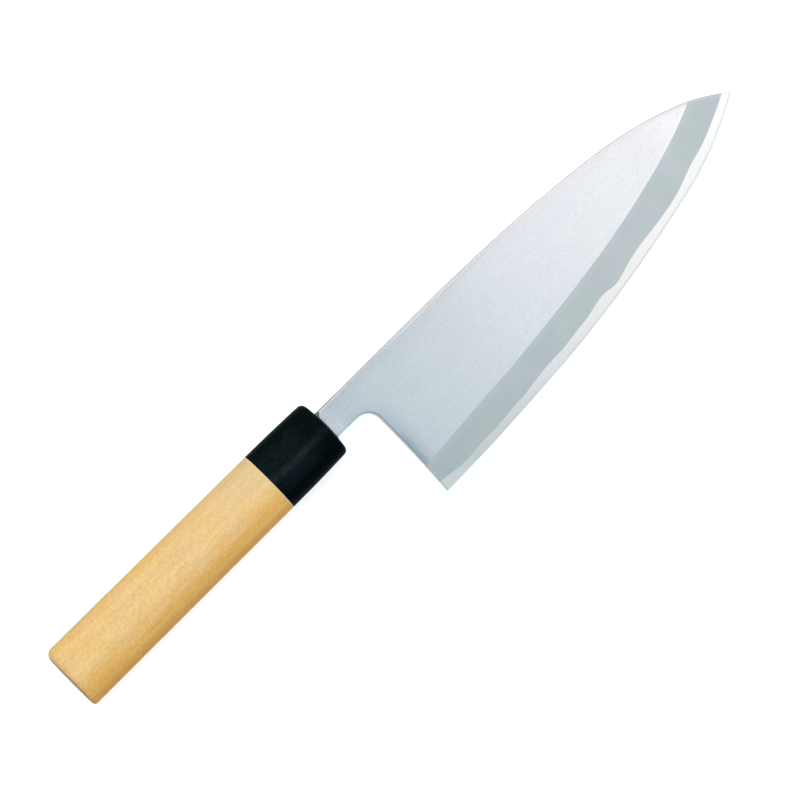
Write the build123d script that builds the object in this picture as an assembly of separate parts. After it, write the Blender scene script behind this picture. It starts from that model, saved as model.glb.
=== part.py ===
from build123d import *
import os
from collections import namedtuple
from math import cos, radians, sin, sqrt, tan

# A right-handed deba knife, lying on a table with its bevelled side up.
# It is drawn in the knife's own axes first: X runs along the handle from butt to tip, with zero at the
# front of the ferrule, Y points to the spine, and Z points out of the bevelled side, with zero on the
# handle's axis. The last step lays the whole knife down on the belly of its edge and on its ferrule.

# Blade outline
tip_reach = 193.0
heel_reach = 15.2
chin_reach = 16.0
spine_rise = 5.85
heel_depth = 54.6
tip_depth = 23.8
neck_height = 11.9
choil_radius = 6.2

# Blade thickness
neck_thickness = 6.5
heel_ridge_thickness = 4.3
point_thickness = 2.6
corner_round = 0.5

# Bevel
bevel_width = 14.5
micro_bevel_width = 0.8
micro_bevel_angle = 28.0

# Hollow ground into the back by a large wheel, and the flat rim left round it
hollow_wheel_radius = 650.0
hollow_run_out = 0.5
rim_width = 3.0

# Hard steel welded to the back of the soft iron
steel_thickness = 1.1
steel_start = 12.0

# Neck and tang inside the handle
neck_seat = 4.0
tang_length = 98.0
tang_height = 11.0
tang_thickness = 5.4
tang_end_height = 5.5
tang_end_thickness = 2.6

# Handle and ferrule
handle_length = 131.5
ferrule_length = 29.1
butt_height = 26.2
butt_thickness = 21.0
seam_height = 25.5
seam_thickness = 20.3
waist_setback = 13.0
waist_height = 25.1
waist_thickness = 19.9
front_height = 24.2
front_thickness = 19.2
ridge_round = 1.6
butt_round = 1.8
front_round = 2.2
front_crown_radius = 120.0
ferrule_wall = 3.0
shoulder_wall = 2.5

# Fits and the resin bead
tenon_fit = 0.1
slot_fit = 0.2
tang_fit = 0.15
hole_end_gap = 3.0
seal_width = 0.7
seal_depth = 3.0
seal_proud = 0.4
seal_edge = 0.25

# One overrun serves every cut
overrun = 5.0

# Lying down, the knife rests on the ferrule and on the belly of its edge, this far from heel to tip
belly_share = 0.8
belly_span_share = 0.05

# Stations along the blade from heel to tip. The columns are the place between heel and tip, the drop of
# the spine as a share of the tip's depth, the depth of the edge between tip (0) and heel (1), and the
# width of the bevel as a share of the bevel width.
blade_station_shares = [
    (0.0, 0.0, 1.0, 0.85),
    (0.125, 0.0, 0.982, 0.95),
    (0.25, 0.0, 0.942, 0.97),
    (0.375, 0.017, 0.89, 1.01),
    (0.5, 0.055, 0.809, 1.03),
    (0.625, 0.131, 0.692, 1.027),
    (0.75, 0.254, 0.546, 1.062),
    (0.875, 0.497, 0.346, 1.118),
    (0.95, 0.75, 0.154, 1.126),
    (1.0, 1.0, 0.0, 1.13),
]
spine_curve_start_share = 0.25
ridge_end_share = 0.95

# The back hollow: the place between heel and tip, and how far it has run out there as a share of the
# full run-out, which takes it under the back at both ends.
hollow_station_shares = [
    (-0.02, 1.7),
    (0.045, 0.5),
    (0.14, 0.05),
    (0.25, 0.0),
    (0.375, 0.0),
    (0.5, 0.0),
    (0.625, 0.0),
    (0.75, 0.0),
    (0.875, 0.02),
    (0.96, 0.3),
]

# The weld line: the place between heel and tip, and its height above the back as a share of the hard
# steel's thickness. It wanders, as a hand-forged weld does.
weld_root_share = 1.46
weld_station_shares = [
    (0.012, 1.43),
    (0.045, 1.13),
    (0.083, 0.99),
    (0.125, 1.05),
    (0.167, 0.96),
    (0.21, 1.01),
    (0.25, 0.99),
    (0.29, 1.06),
    (0.33, 1.1),
    (0.375, 1.0),
    (0.42, 1.01),
    (0.46, 1.01),
    (0.5, 1.09),
    (0.52, 1.04),
    (0.54, 0.85),
    (0.58, 0.87),
    (0.625, 0.95),
    (0.665, 0.89),
    (0.705, 0.8),
    (0.75, 0.75),
    (0.79, 0.79),
    (0.83, 0.88),
    (0.87, 0.83),
    (0.91, 0.81),
    (0.95, 0.79),
    (1.0, 0.77),
    (1.05, 0.76),
]

# Shape of the grip's section, as shares of its half sizes, and the slopes of its two upper flanks
ridge_offset_share = 0.14
spine_flank_share = 0.6
edge_flank_share = 0.52
quarter_round_share = 0.5523
spine_flank_slope = 9.0
edge_flank_slope = 15.0

back_z = -neck_thickness / 2
neck_centre_y = spine_rise - neck_height / 2
front_wall = neck_seat + shoulder_wall


# Blade

Station = namedtuple("Station", "place drop depth bevel")
blade_stations = [Station(*row) for row in blade_station_shares]


def station_x(share):
    return heel_reach + share * (tip_reach - heel_reach)


def column_at(share, column):
    """Straight-line reading of one column of the blade's stations, also past both ends."""
    pairs = zip(blade_stations, blade_stations[1:])
    low, high = next(pairs)
    for pair in pairs:
        if high.place < share:
            low, high = pair
    part = (share - low.place) / (high.place - low.place)
    return getattr(low, column) + part * (getattr(high, column) - getattr(low, column))


def spine_y(share):
    return spine_rise - tip_depth * column_at(share, "drop")


def edge_y(share):
    depth = tip_depth + (heel_depth - tip_depth) * column_at(share, "depth")
    return spine_rise - depth


def ridge_y(share):
    return edge_y(share) + bevel_width * column_at(share, "bevel")


def blade_outline():
    """Outline of the blank, run on past the edge, which the bevel then cuts."""
    tip = Vector(tip_reach, spine_y(1), 0)
    curve_x = station_x(spine_curve_start_share)
    spine_points = [
        Vector(station_x(station.place), spine_y(station.place))
        for station in blade_stations if station.place >= spine_curve_start_share
    ]
    underside_y = spine_rise - neck_height
    spine_line = Line((-neck_seat, spine_rise), (curve_x, spine_rise))
    spine_curve = Spline(*spine_points, tangents=[(1, 0), spine_points[-1] - spine_points[-2]])
    tip_run = Line(tip, tip + (spine_curve % 1) * overrun)
    underside = Line((-neck_seat, underside_y), (chin_reach - choil_radius, underside_y))
    choil = RadiusArc(
        (chin_reach - choil_radius, underside_y),
        (chin_reach, underside_y - choil_radius),
        choil_radius,
    )
    heel = Vector(heel_reach, spine_rise - heel_depth, 0)
    chin = TangentArc((chin_reach, underside_y - choil_radius), heel, tangent=(0, -1))
    heel_run = Line(heel, heel + (chin % 1) * overrun)
    low_y = (heel_run @ 1).Y
    outside = Polyline(tip_run @ 1, ((tip_run @ 1).X, low_y), heel_run @ 1)
    neck_end = Line((-neck_seat, spine_rise), (-neck_seat, underside_y))
    far_run = [spine_line, spine_curve, tip_run, *outside.edges(), heel_run]
    return Wire([*far_run, chin, choil, underside, neck_end])


def flat_plane():
    """Plane of the blade's upper flat, through the neck, the ridge at the heel and the ridge's end."""
    at_neck = Vector(0, spine_rise, back_z + neck_thickness)
    at_heel = Vector(heel_reach, ridge_y(0), back_z + heel_ridge_thickness)
    at_point = Vector(station_x(ridge_end_share), ridge_y(ridge_end_share), back_z + point_thickness)
    normal = (at_heel - at_neck).cross(at_point - at_neck)
    return Plane(origin=at_neck, z_dir=normal)


def flat_height(x, y):
    """Height of the upper flat above the back."""
    plane = flat_plane()
    normal, origin = plane.z_dir, plane.origin
    z = origin.Z - (normal.X * (x - origin.X) + normal.Y * (y - origin.Y)) / normal.Z
    return z - back_z


def cross_plane(x, z=0.0):
    """Plane across the knife at x, with its own axes along Y and Z."""
    return Plane(origin=(x, 0, z), x_dir=(0, 1, 0), z_dir=(1, 0, 0))


def bevel_section(share):
    """Section of the space above the bevel: a steep strip at the edge, then the long slope."""
    top = neck_thickness + overrun
    step = micro_bevel_width * tan(radians(micro_bevel_angle))
    edge = edge_y(share)
    ridge = ridge_y(share)
    shoulder = edge + micro_bevel_width
    rise = (flat_height(station_x(share), ridge) - step) / (ridge - shoulder)
    far = ridge + overrun
    outside = spine_rise - heel_depth - 2 * overrun
    points = [
        (outside, -step),
        (edge - micro_bevel_width, -step),
        (shoulder, step),
        (far, step + rise * (far - shoulder)),
        (far, top),
        (outside, top),
    ]
    return cross_plane(station_x(share), back_z) * make_face(Polyline(*points, close=True))


def bevel_cutter():
    run = 2 * overrun / (tip_reach - heel_reach)
    shares = [station.place for station in blade_stations]
    return loft([bevel_section(share) for share in [-run, *shares, 1 + run]])


def wheel_sag(half_chord):
    return hollow_wheel_radius - sqrt(hollow_wheel_radius ** 2 - half_chord ** 2)


def hollow_section(share, run_out_share):
    """Section of the back hollow: the wheel's shallow arc, through the rim's two inner lines."""
    high = spine_y(share) - rim_width
    low = edge_y(share) + rim_width
    half = (high - low) / 2
    centre = (high + low) / 2
    reach = half + rim_width
    sag = wheel_sag(reach)
    apex = wheel_sag(half) - hollow_run_out * run_out_share
    arc = ThreePointArc((centre - reach, apex - sag), (centre, apex), (centre + reach, apex - sag))
    base = Polyline(
        (centre + reach, apex - sag),
        (centre + reach, -overrun),
        (centre - reach, -overrun),
        (centre - reach, apex - sag),
    )
    return cross_plane(station_x(share), back_z) * make_face(arc + base)


def back_hollow():
    return loft([hollow_section(share, run_out_share) for share, run_out_share in hollow_station_shares])


def weld_side():
    """The space under the weld surface, from the neck's root to past the tip."""
    points = [(steel_start, back_z + steel_thickness * weld_root_share)]
    for share, height_share in weld_station_shares:
        points.append((station_x(share), back_z + steel_thickness * height_share))
    last_x = points[-1][0]
    profile = Spline(*points)
    low_z = back_z - overrun
    front = Polyline(points[-1], (last_x, low_z), (steel_start, low_z), points[0])
    face = Plane.XZ * make_face(profile + front)
    return extrude(face, amount=heel_depth + overrun, both=True)


def welded_blade():
    """Blade and neck as one forging, before it is parted along the weld."""
    outline = Plane.XY.offset(back_z) * make_face(blade_outline())
    blank = extrude(outline, amount=neck_thickness + overrun)
    blank = split(blank, bisect_by=flat_plane(), keep=Keep.BOTTOM)
    top_face = blank.faces().sort_by(Axis.Z)[-1]
    low_y = blank.bounding_box().min.Y
    far_x = blank.bounding_box().max.X
    rounded = [
        edge for edge in top_face.edges()
        if edge.center().X > 0
        and edge.center().X < far_x - corner_round
        and edge.center().Y > low_y + corner_round
    ]
    blank = fillet(rounded, corner_round)
    return blank - bevel_cutter() - back_hollow()


def neck_section(x, height, thickness, fit=0.0):
    """Rectangle across the knife at the neck's height, larger all round by the fit."""
    return cross_plane(x) * Pos(neck_centre_y, 0) * Rectangle(height + 2 * fit, thickness + 2 * fit)


def tang():
    """Flat tapering tang, from the neck's seat back into the wood."""
    at_neck = neck_section(-neck_seat, tang_height, tang_thickness)
    at_end = neck_section(-tang_length, tang_end_height, tang_end_thickness)
    return loft([at_neck, at_end])


def blade_body():
    return welded_blade() - weld_side() + tang()


def hard_steel_layer():
    return welded_blade() & weld_side()


# Handle and ferrule

def grip_section(x, height, thickness):
    """Chestnut section: a round back, and two flanks that meet in a soft ridge on the upper side."""
    half_height, half_thickness = height / 2, thickness / 2
    ridge = Vector(-ridge_offset_share * half_height, half_thickness)
    spine_slope = Vector(cos(radians(spine_flank_slope)), -sin(radians(spine_flank_slope)))
    edge_slope = Vector(-cos(radians(edge_flank_slope)), -sin(radians(edge_flank_slope)))
    spine_shoulder = ridge + spine_slope * ridge_round
    edge_shoulder = ridge + edge_slope * ridge_round
    spine_end = Vector(half_height, 0)
    edge_end = Vector(-half_height, 0)
    low = Vector(0, -half_thickness)
    up = Vector(0, half_thickness)
    across = Vector(half_height, 0)
    lines = [
        Bezier(spine_end, spine_end + up * spine_flank_share,
               spine_shoulder + spine_slope * (half_height * spine_flank_share), spine_shoulder),
        Bezier(spine_shoulder, ridge, edge_shoulder),
        Bezier(edge_shoulder, edge_shoulder + edge_slope * (half_height * edge_flank_share),
               edge_end + up * edge_flank_share, edge_end),
        Bezier(edge_end, edge_end - up * quarter_round_share, low - across * quarter_round_share, low),
        Bezier(low, low + across * quarter_round_share, spine_end - up * quarter_round_share, spine_end),
    ]
    return cross_plane(x) * make_face(lines)


def tenon(fit):
    """Tenon of the wood, or with no fit the ferrule's pocket that holds it."""
    height = seam_height - 2 * ferrule_wall - 2 * fit
    thickness = seam_thickness - 2 * ferrule_wall - 2 * fit
    section = grip_section(-ferrule_length, height, thickness)
    return extrude(section, amount=ferrule_length - front_wall - fit)


def tang_hole():
    """Hole burnt for the tang, from the tenon's face to a blind end."""
    at_neck = neck_section(-neck_seat, tang_height, tang_thickness, tang_fit)
    at_end = neck_section(-tang_length - hole_end_gap, tang_end_height, tang_end_thickness, tang_fit)
    return loft([at_neck, at_end])


def handle():
    grip = loft([
        grip_section(-handle_length, butt_height, butt_thickness),
        grip_section(-ferrule_length, seam_height, seam_thickness),
    ])
    butt_edges = grip.faces().sort_by(Axis.X)[0].edges()
    grip = fillet(butt_edges, butt_round)
    return grip + tenon(tenon_fit) - tang_hole()


def seal_block(height):
    """Block round the neck at the mouth of the slot, up to this height above the ferrule's front."""
    section = neck_section(-seal_depth, neck_height, neck_thickness, seal_width)
    return extrude(section, amount=seal_depth + height)


def ferrule():
    cap = loft([
        grip_section(-ferrule_length, seam_height, seam_thickness),
        grip_section(-waist_setback, waist_height, waist_thickness),
        grip_section(0, front_height, front_thickness),
    ])
    cap = cap & (Pos(-front_crown_radius, 0, 0) * Sphere(front_crown_radius))
    cap = fillet(cap.faces().sort_by(Axis.X)[-1].edges(), front_round)
    neck_mouth = neck_section(-neck_seat - slot_fit, neck_height, neck_thickness, slot_fit)
    neck_slot = extrude(neck_mouth, amount=neck_seat + overrun)
    tang_mouth = neck_section(-ferrule_length, tang_height, tang_thickness, slot_fit)
    tang_slot = extrude(tang_mouth, amount=ferrule_length)
    return cap - tenon(0) - tang_slot - neck_slot - seal_block(overrun)


def tang_seal():
    """Resin bead that fills the slot's mouth and stands a little proud round the neck."""
    bead = seal_block(seal_proud)
    bead = chamfer(bead.faces().sort_by(Axis.X)[-1].edges(), seal_edge)
    return bead - welded_blade()


# Laying the knife on the table

def table_plane():
    """The plane that touches the belly of the edge and the rounded underside of the ferrule's waist.

    It cuts the back's plane along the tangent of the belly. The roll is the root of the quadratic that
    makes the plane touch the ellipse of the waist as well.
    """
    low, high = belly_share - belly_span_share, belly_share + belly_span_share
    belly_slope = (edge_y(high) - edge_y(low)) / (station_x(high) - station_x(low))
    half_height, half_thickness = waist_height / 2, waist_thickness / 2
    lever = belly_slope * (station_x(belly_share) + waist_setback) - edge_y(belly_share)
    spread = lever ** 2 - half_height ** 2
    gap = back_z ** 2 - half_thickness ** 2
    roll = (-back_z * lever - sqrt((back_z * lever) ** 2 - spread * gap)) / spread
    pitch = -roll * belly_slope
    return Plane(origin=(0, 0, 0), x_dir=(1, 0, pitch), z_dir=(-pitch, -roll, 1))


def knife_pieces():
    return {
        "blade_body": blade_body(),
        "hard_steel_layer": hard_steel_layer(),
        "tang_seal": tang_seal(),
        "ferrule": ferrule(),
        "handle": handle(),
    }


def laid_down(pieces):
    """The pieces turned together on to the table, with the origin under the middle of their box."""
    table = table_plane()
    turned = {name: table.to_local_coords(piece) for name, piece in pieces.items()}
    box = Compound(list(turned.values())).bounding_box()
    middle = box.center()
    shift = Pos(-middle.X, -middle.Y, -box.min.Z)
    return {name: shift * piece for name, piece in turned.items()}


def main():
    os.makedirs("parts", exist_ok=True)
    for name, piece in laid_down(knife_pieces()).items():
        piece.label = name
        export_step(piece, os.path.join("parts", name + ".step"))
        print(name, len(piece.solids()), round(piece.volume, 1))


main()
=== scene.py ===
import logging
import math
from dataclasses import dataclass
from enum import Enum
from functools import reduce
from typing import Any, Optional

import bpy
import numpy as np
from mathutils import Matrix, Vector


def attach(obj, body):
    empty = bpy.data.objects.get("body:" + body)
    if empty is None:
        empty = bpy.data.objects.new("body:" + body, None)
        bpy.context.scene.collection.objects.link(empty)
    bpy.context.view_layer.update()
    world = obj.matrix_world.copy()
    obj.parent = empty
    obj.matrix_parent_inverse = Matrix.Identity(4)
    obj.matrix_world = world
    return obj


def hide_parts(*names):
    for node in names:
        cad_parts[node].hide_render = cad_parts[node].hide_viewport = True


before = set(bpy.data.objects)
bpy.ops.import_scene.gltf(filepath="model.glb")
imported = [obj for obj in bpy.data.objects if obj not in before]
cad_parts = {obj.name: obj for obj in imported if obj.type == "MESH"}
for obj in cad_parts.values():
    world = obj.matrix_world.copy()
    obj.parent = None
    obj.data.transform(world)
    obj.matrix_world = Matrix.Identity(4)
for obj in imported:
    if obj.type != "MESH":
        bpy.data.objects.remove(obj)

# A right-handed deba knife: a forged blade of soft iron with a hard-steel back, a tang sealed into a
# wooden handle, and a black ferrule. Shapes are worked out in the knife's own axes, in millimetres:
# X along the handle towards the tip, from the ferrule's front, Y towards the spine, Z out of the
# bevelled side. The lying pose then puts them where the CAD knife lies, in metres.

log = logging.getLogger("deba_knife")
MM = 0.001
Numbers = np.ndarray
# The middle of a noise's range, where most of it lies.
NOISE_RANGE = (0.3, 0.7)
# The smallest length and the smallest drop that are divided by, and the grid on which points at one
# place meet, in millimetres.
TINY = 1e-9
LEAST_DROP = 1e-12
MEETING_GRID = 2e-4


class Piece(Enum):
    """The pieces of the knife, each with the name of its CAD node."""

    BLADE_BODY = "blade_body"
    HARD_STEEL = "hard_steel_layer"
    TANG_SEAL = "tang_seal"
    FERRULE = "ferrule"
    HANDLE = "handle"


class Slot(Enum):
    """The record's material slots."""

    SOFT_IRON = "soft_iron"
    HARD_STEEL = "hard_steel"
    RESIN = "resin"
    FERRULE_BLACK = "ferrule_black"
    MAGNOLIA_WOOD = "magnolia_wood"


# Curves and loops


def smooth_through(places: Numbers, values: Numbers, at: Numbers,
                   start_slope: Optional[float] = None, end_slope: Optional[float] = None) -> Numbers:
    """Cubic spline through a few points, with a free end where no slope is given.

    The second slopes at the points solve one linear system: each stretch is a cubic, and
    neighbours share value, slope and second slope.

    Args:
        places: rising places of the points.
        values: values there.
        at: where the curve is read.
        start_slope: slope at the first point, or None for a free end.
        end_slope: slope at the last point, or None for a free end.

    Returns:
        The curve's value at each asked place.
    """
    x, y = np.asarray(places, float), np.asarray(values, float)
    step = np.diff(x)
    slope = np.diff(y) / step
    count = len(x)
    matrix, right = np.zeros((count, count)), np.zeros(count)
    inner = np.arange(1, count - 1)
    matrix[inner, inner - 1] = step[:-1]
    matrix[inner, inner] = 2 * (step[:-1] + step[1:])
    matrix[inner, inner + 1] = step[1:]
    right[1:-1] = 6 * np.diff(slope)
    matrix[0, 0] = matrix[-1, -1] = 1
    if start_slope is not None:
        matrix[0, :2] = 2 * step[0], step[0]
        right[0] = 6 * (slope[0] - start_slope)
    if end_slope is not None:
        matrix[-1, -2:] = step[-1], 2 * step[-1]
        right[-1] = 6 * (end_slope - slope[-1])
    bend = np.linalg.solve(matrix, right)
    low = np.clip(np.searchsorted(x, at) - 1, 0, count - 2)
    run = at - x[low]
    cube = (bend[low + 1] - bend[low]) / (6 * step[low])
    first = slope[low] - step[low] * (2 * bend[low] + bend[low + 1]) / 6
    return y[low] + run * (first + run * (bend[low] / 2 + run * cube))


def along_line(points: Numbers, count: int) -> Numbers:
    """Points at equal steps along an open line of points.

    Args:
        points: (n, 2) points of the line.
        count: how many points to give back.

    Returns:
        (count, 2) points.
    """
    steps = np.linalg.norm(np.diff(points, axis=0), axis=1)
    gone = np.concatenate([[0.0], np.cumsum(steps)])
    at = np.linspace(0, gone[-1], count)
    return np.column_stack([np.interp(at, gone, points[:, axis]) for axis in range(2)])


def even_steps(first: Numbers, last: Numbers, count: int) -> Numbers:
    """Rows of evenly stepped numbers, each from its first to its last."""
    return first[:, None] + np.linspace(0, 1, count)[None, :] * (last - first)[:, None]


def curve_of(corners: list, count: int) -> Numbers:
    """Bezier curve of two or three degrees: the weighted mean of its control points.

    Args:
        corners: three or four control points.
        count: how many points to give back.

    Returns:
        (count, 2) points from the first control point to the last.
    """
    t = np.linspace(0, 1, count)[:, None]
    points = np.asarray(corners, float)
    degree = len(points) - 1
    total = np.zeros((count, 2))
    for index, point in enumerate(points):
        weight = math.comb(degree, index) * t ** index * (1 - t) ** (degree - index)
        total = total + weight * point
    return total


def first_crossing(values: Numbers, places: Numbers) -> Numbers:
    """Where each row of values first goes from positive to not positive.

    Args:
        values: (rows, samples) values.
        places: (rows, samples) places of the samples.

    Returns:
        The place in each row, which is the last one where nothing crosses.
    """
    below = values <= 0
    found = below.any(axis=1)
    second = np.where(found, below.argmax(axis=1), values.shape[1] - 1)
    first = np.maximum(second - 1, 0)
    rows = np.arange(len(values))
    high, low = values[rows, first], values[rows, second]
    drop = np.where(np.abs(high - low) > LEAST_DROP, high - low, 1.0)
    part = np.clip(np.where(found & (second > 0), high / drop, 1.0), 0, 1)
    return places[rows, first] + part * (places[rows, second] - places[rows, first])


# The lying pose


@dataclass(frozen=True)
class LyingPose:
    """How the knife lies: turned by its pitch and roll, then moved to the row frame."""

    pitch: float = 0.02354444
    roll: float = -0.08494728
    ferrule_front: tuple = (-30.600665, 17.725354, 9.698707)

    def turn(self) -> Numbers:
        """Turns the knife: its length is pitched, its upward axis rolled, and the third is square to both.

        Returns:
            Rows of the row frame's axes, each written in the knife's axes.
        """
        along = np.array([1.0, 0.0, self.pitch])
        up = np.array([-self.pitch, -self.roll, 1.0])
        along, up = along / np.linalg.norm(along), up / np.linalg.norm(up)
        return np.array([along, np.cross(up, along), up])

    def place(self, points: Numbers) -> Numbers:
        """Points in knife millimetres, put into the row frame in metres."""
        return (points @ self.turn().T + np.array(self.ferrule_front)) * MM

    def back_to_knife(self) -> Matrix:
        """Turns the lying pose round: the turn's transpose after the move back.

        Returns:
            The matrix that takes row-frame metres to knife-axis metres.
        """
        turn = self.turn()
        shift = -turn.T @ (np.array(self.ferrule_front) * MM)
        return Matrix.Translation(Vector(shift)) @ Matrix(turn.T.tolist()).to_4x4()


POSE = LyingPose()


# Meshes


def shell_faces(rows: int, columns: int, closed_rows: bool) -> Numbers:
    """Quads of a grid whose rows are closed loops.

    Args:
        rows: number of loops.
        columns: points in each loop.
        closed_rows: whether the last loop joins the first.

    Returns:
        (m, 4) indices into the grid, taken row by row.
    """
    row = np.arange(rows if closed_rows else rows - 1)[:, None]
    column = np.arange(columns)[None, :]
    after_row, after_column = (row + 1) % rows, (column + 1) % columns
    corners = [row * columns + column, row * columns + after_column,
               after_row * columns + after_column, after_row * columns + column]
    return np.stack(np.broadcast_arrays(*corners), axis=-1).reshape(-1, 4)


def merged(points: Numbers, faces: Numbers) -> tuple:
    """Merges points at one place and drops the faces that close up.

    Args:
        points: (n, 3) points in millimetres.
        faces: (m, 4) indices.

    Returns:
        The points kept, and the faces as a list of lists of three or four indices.
    """
    keys = np.round(points / MEETING_GRID).astype(np.int64)
    _, kept, place = np.unique(keys, axis=0, return_index=True, return_inverse=True)
    faces = place.reshape(-1)[faces]
    same_as_next = faces == np.roll(faces, -1, axis=1)
    crossed = (faces[:, 0] == faces[:, 2]) | (faces[:, 1] == faces[:, 3])
    whole = faces[(same_as_next.sum(axis=1) == 0) & ~crossed]
    threes = (same_as_next.sum(axis=1) == 1) & ~crossed
    triangles = faces[threes][~same_as_next[threes]].reshape(-1, 3)
    return points[kept], whole.tolist() + triangles.tolist()


def closed_shell(loops: Numbers, ring: bool = False) -> tuple:
    """A closed surface carried over loops, with each end closed to its middle unless it is a ring.

    Args:
        loops: (rows, columns, 3) points, a closed loop in each row.
        ring: whether the last loop joins the first.

    Returns:
        Points in knife millimetres and faces, turned so that they point outwards.
    """
    if not ring:
        start = np.broadcast_to(loops[0].mean(axis=0), loops[0].shape)[None]
        end = np.broadcast_to(loops[-1].mean(axis=0), loops[-1].shape)[None]
        loops = np.concatenate([start, loops, end])
    rows, columns = loops.shape[:2]
    points = loops.reshape(-1, 3)
    faces = shell_faces(rows, columns, ring)
    a, b, c, d = (points[faces[:, corner]] for corner in range(4))
    volume = (np.einsum("ij,ij->i", a, np.cross(b, c)) + np.einsum("ij,ij->i", a, np.cross(c, d))).sum()
    if volume < 0:
        faces = faces[:, ::-1]
    return merged(points, faces)


def make_object(piece: Piece, shape: tuple, material: Any, sharp_above: float,
                values: Optional[dict] = None) -> Any:
    """Puts a shape into a mesh object at the origin, shaded smooth but for its sharp edges.

    Args:
        piece: the piece, whose CAD node it replaces.
        shape: points in knife millimetres and faces.
        material: its finish.
        sharp_above: edges that bend more than this angle, in degrees, stay sharp.
        values: named values, one for each point, kept as attributes for the finish.

    Returns:
        The new object, riding on the knife's one body.
    """
    points, faces = shape
    mesh = bpy.data.meshes.new(piece.value + "_surface")
    mesh.from_pydata(POSE.place(points).tolist(), [], faces)
    mesh.validate()
    mesh.shade_smooth()
    mesh.set_sharp_from_angle(angle=math.radians(sharp_above))
    for name, numbers in (values or {}).items():
        attribute = mesh.attributes.new(name, "FLOAT", "POINT")
        attribute.data.foreach_set("value", np.asarray(numbers, np.float32))
    mesh.materials.append(material)
    made = bpy.data.objects.new(piece.value + "_dressed", mesh)
    bpy.context.scene.collection.objects.link(made)
    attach(made, "root")
    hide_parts(piece.value)
    log.info("%s: %d points, %d faces", made.name, len(points), len(faces))
    return made


# Shader nodes


class Axis(Enum):
    """The knife's own axes."""

    ALONG = 0
    ACROSS = 1
    UP = 2


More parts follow.
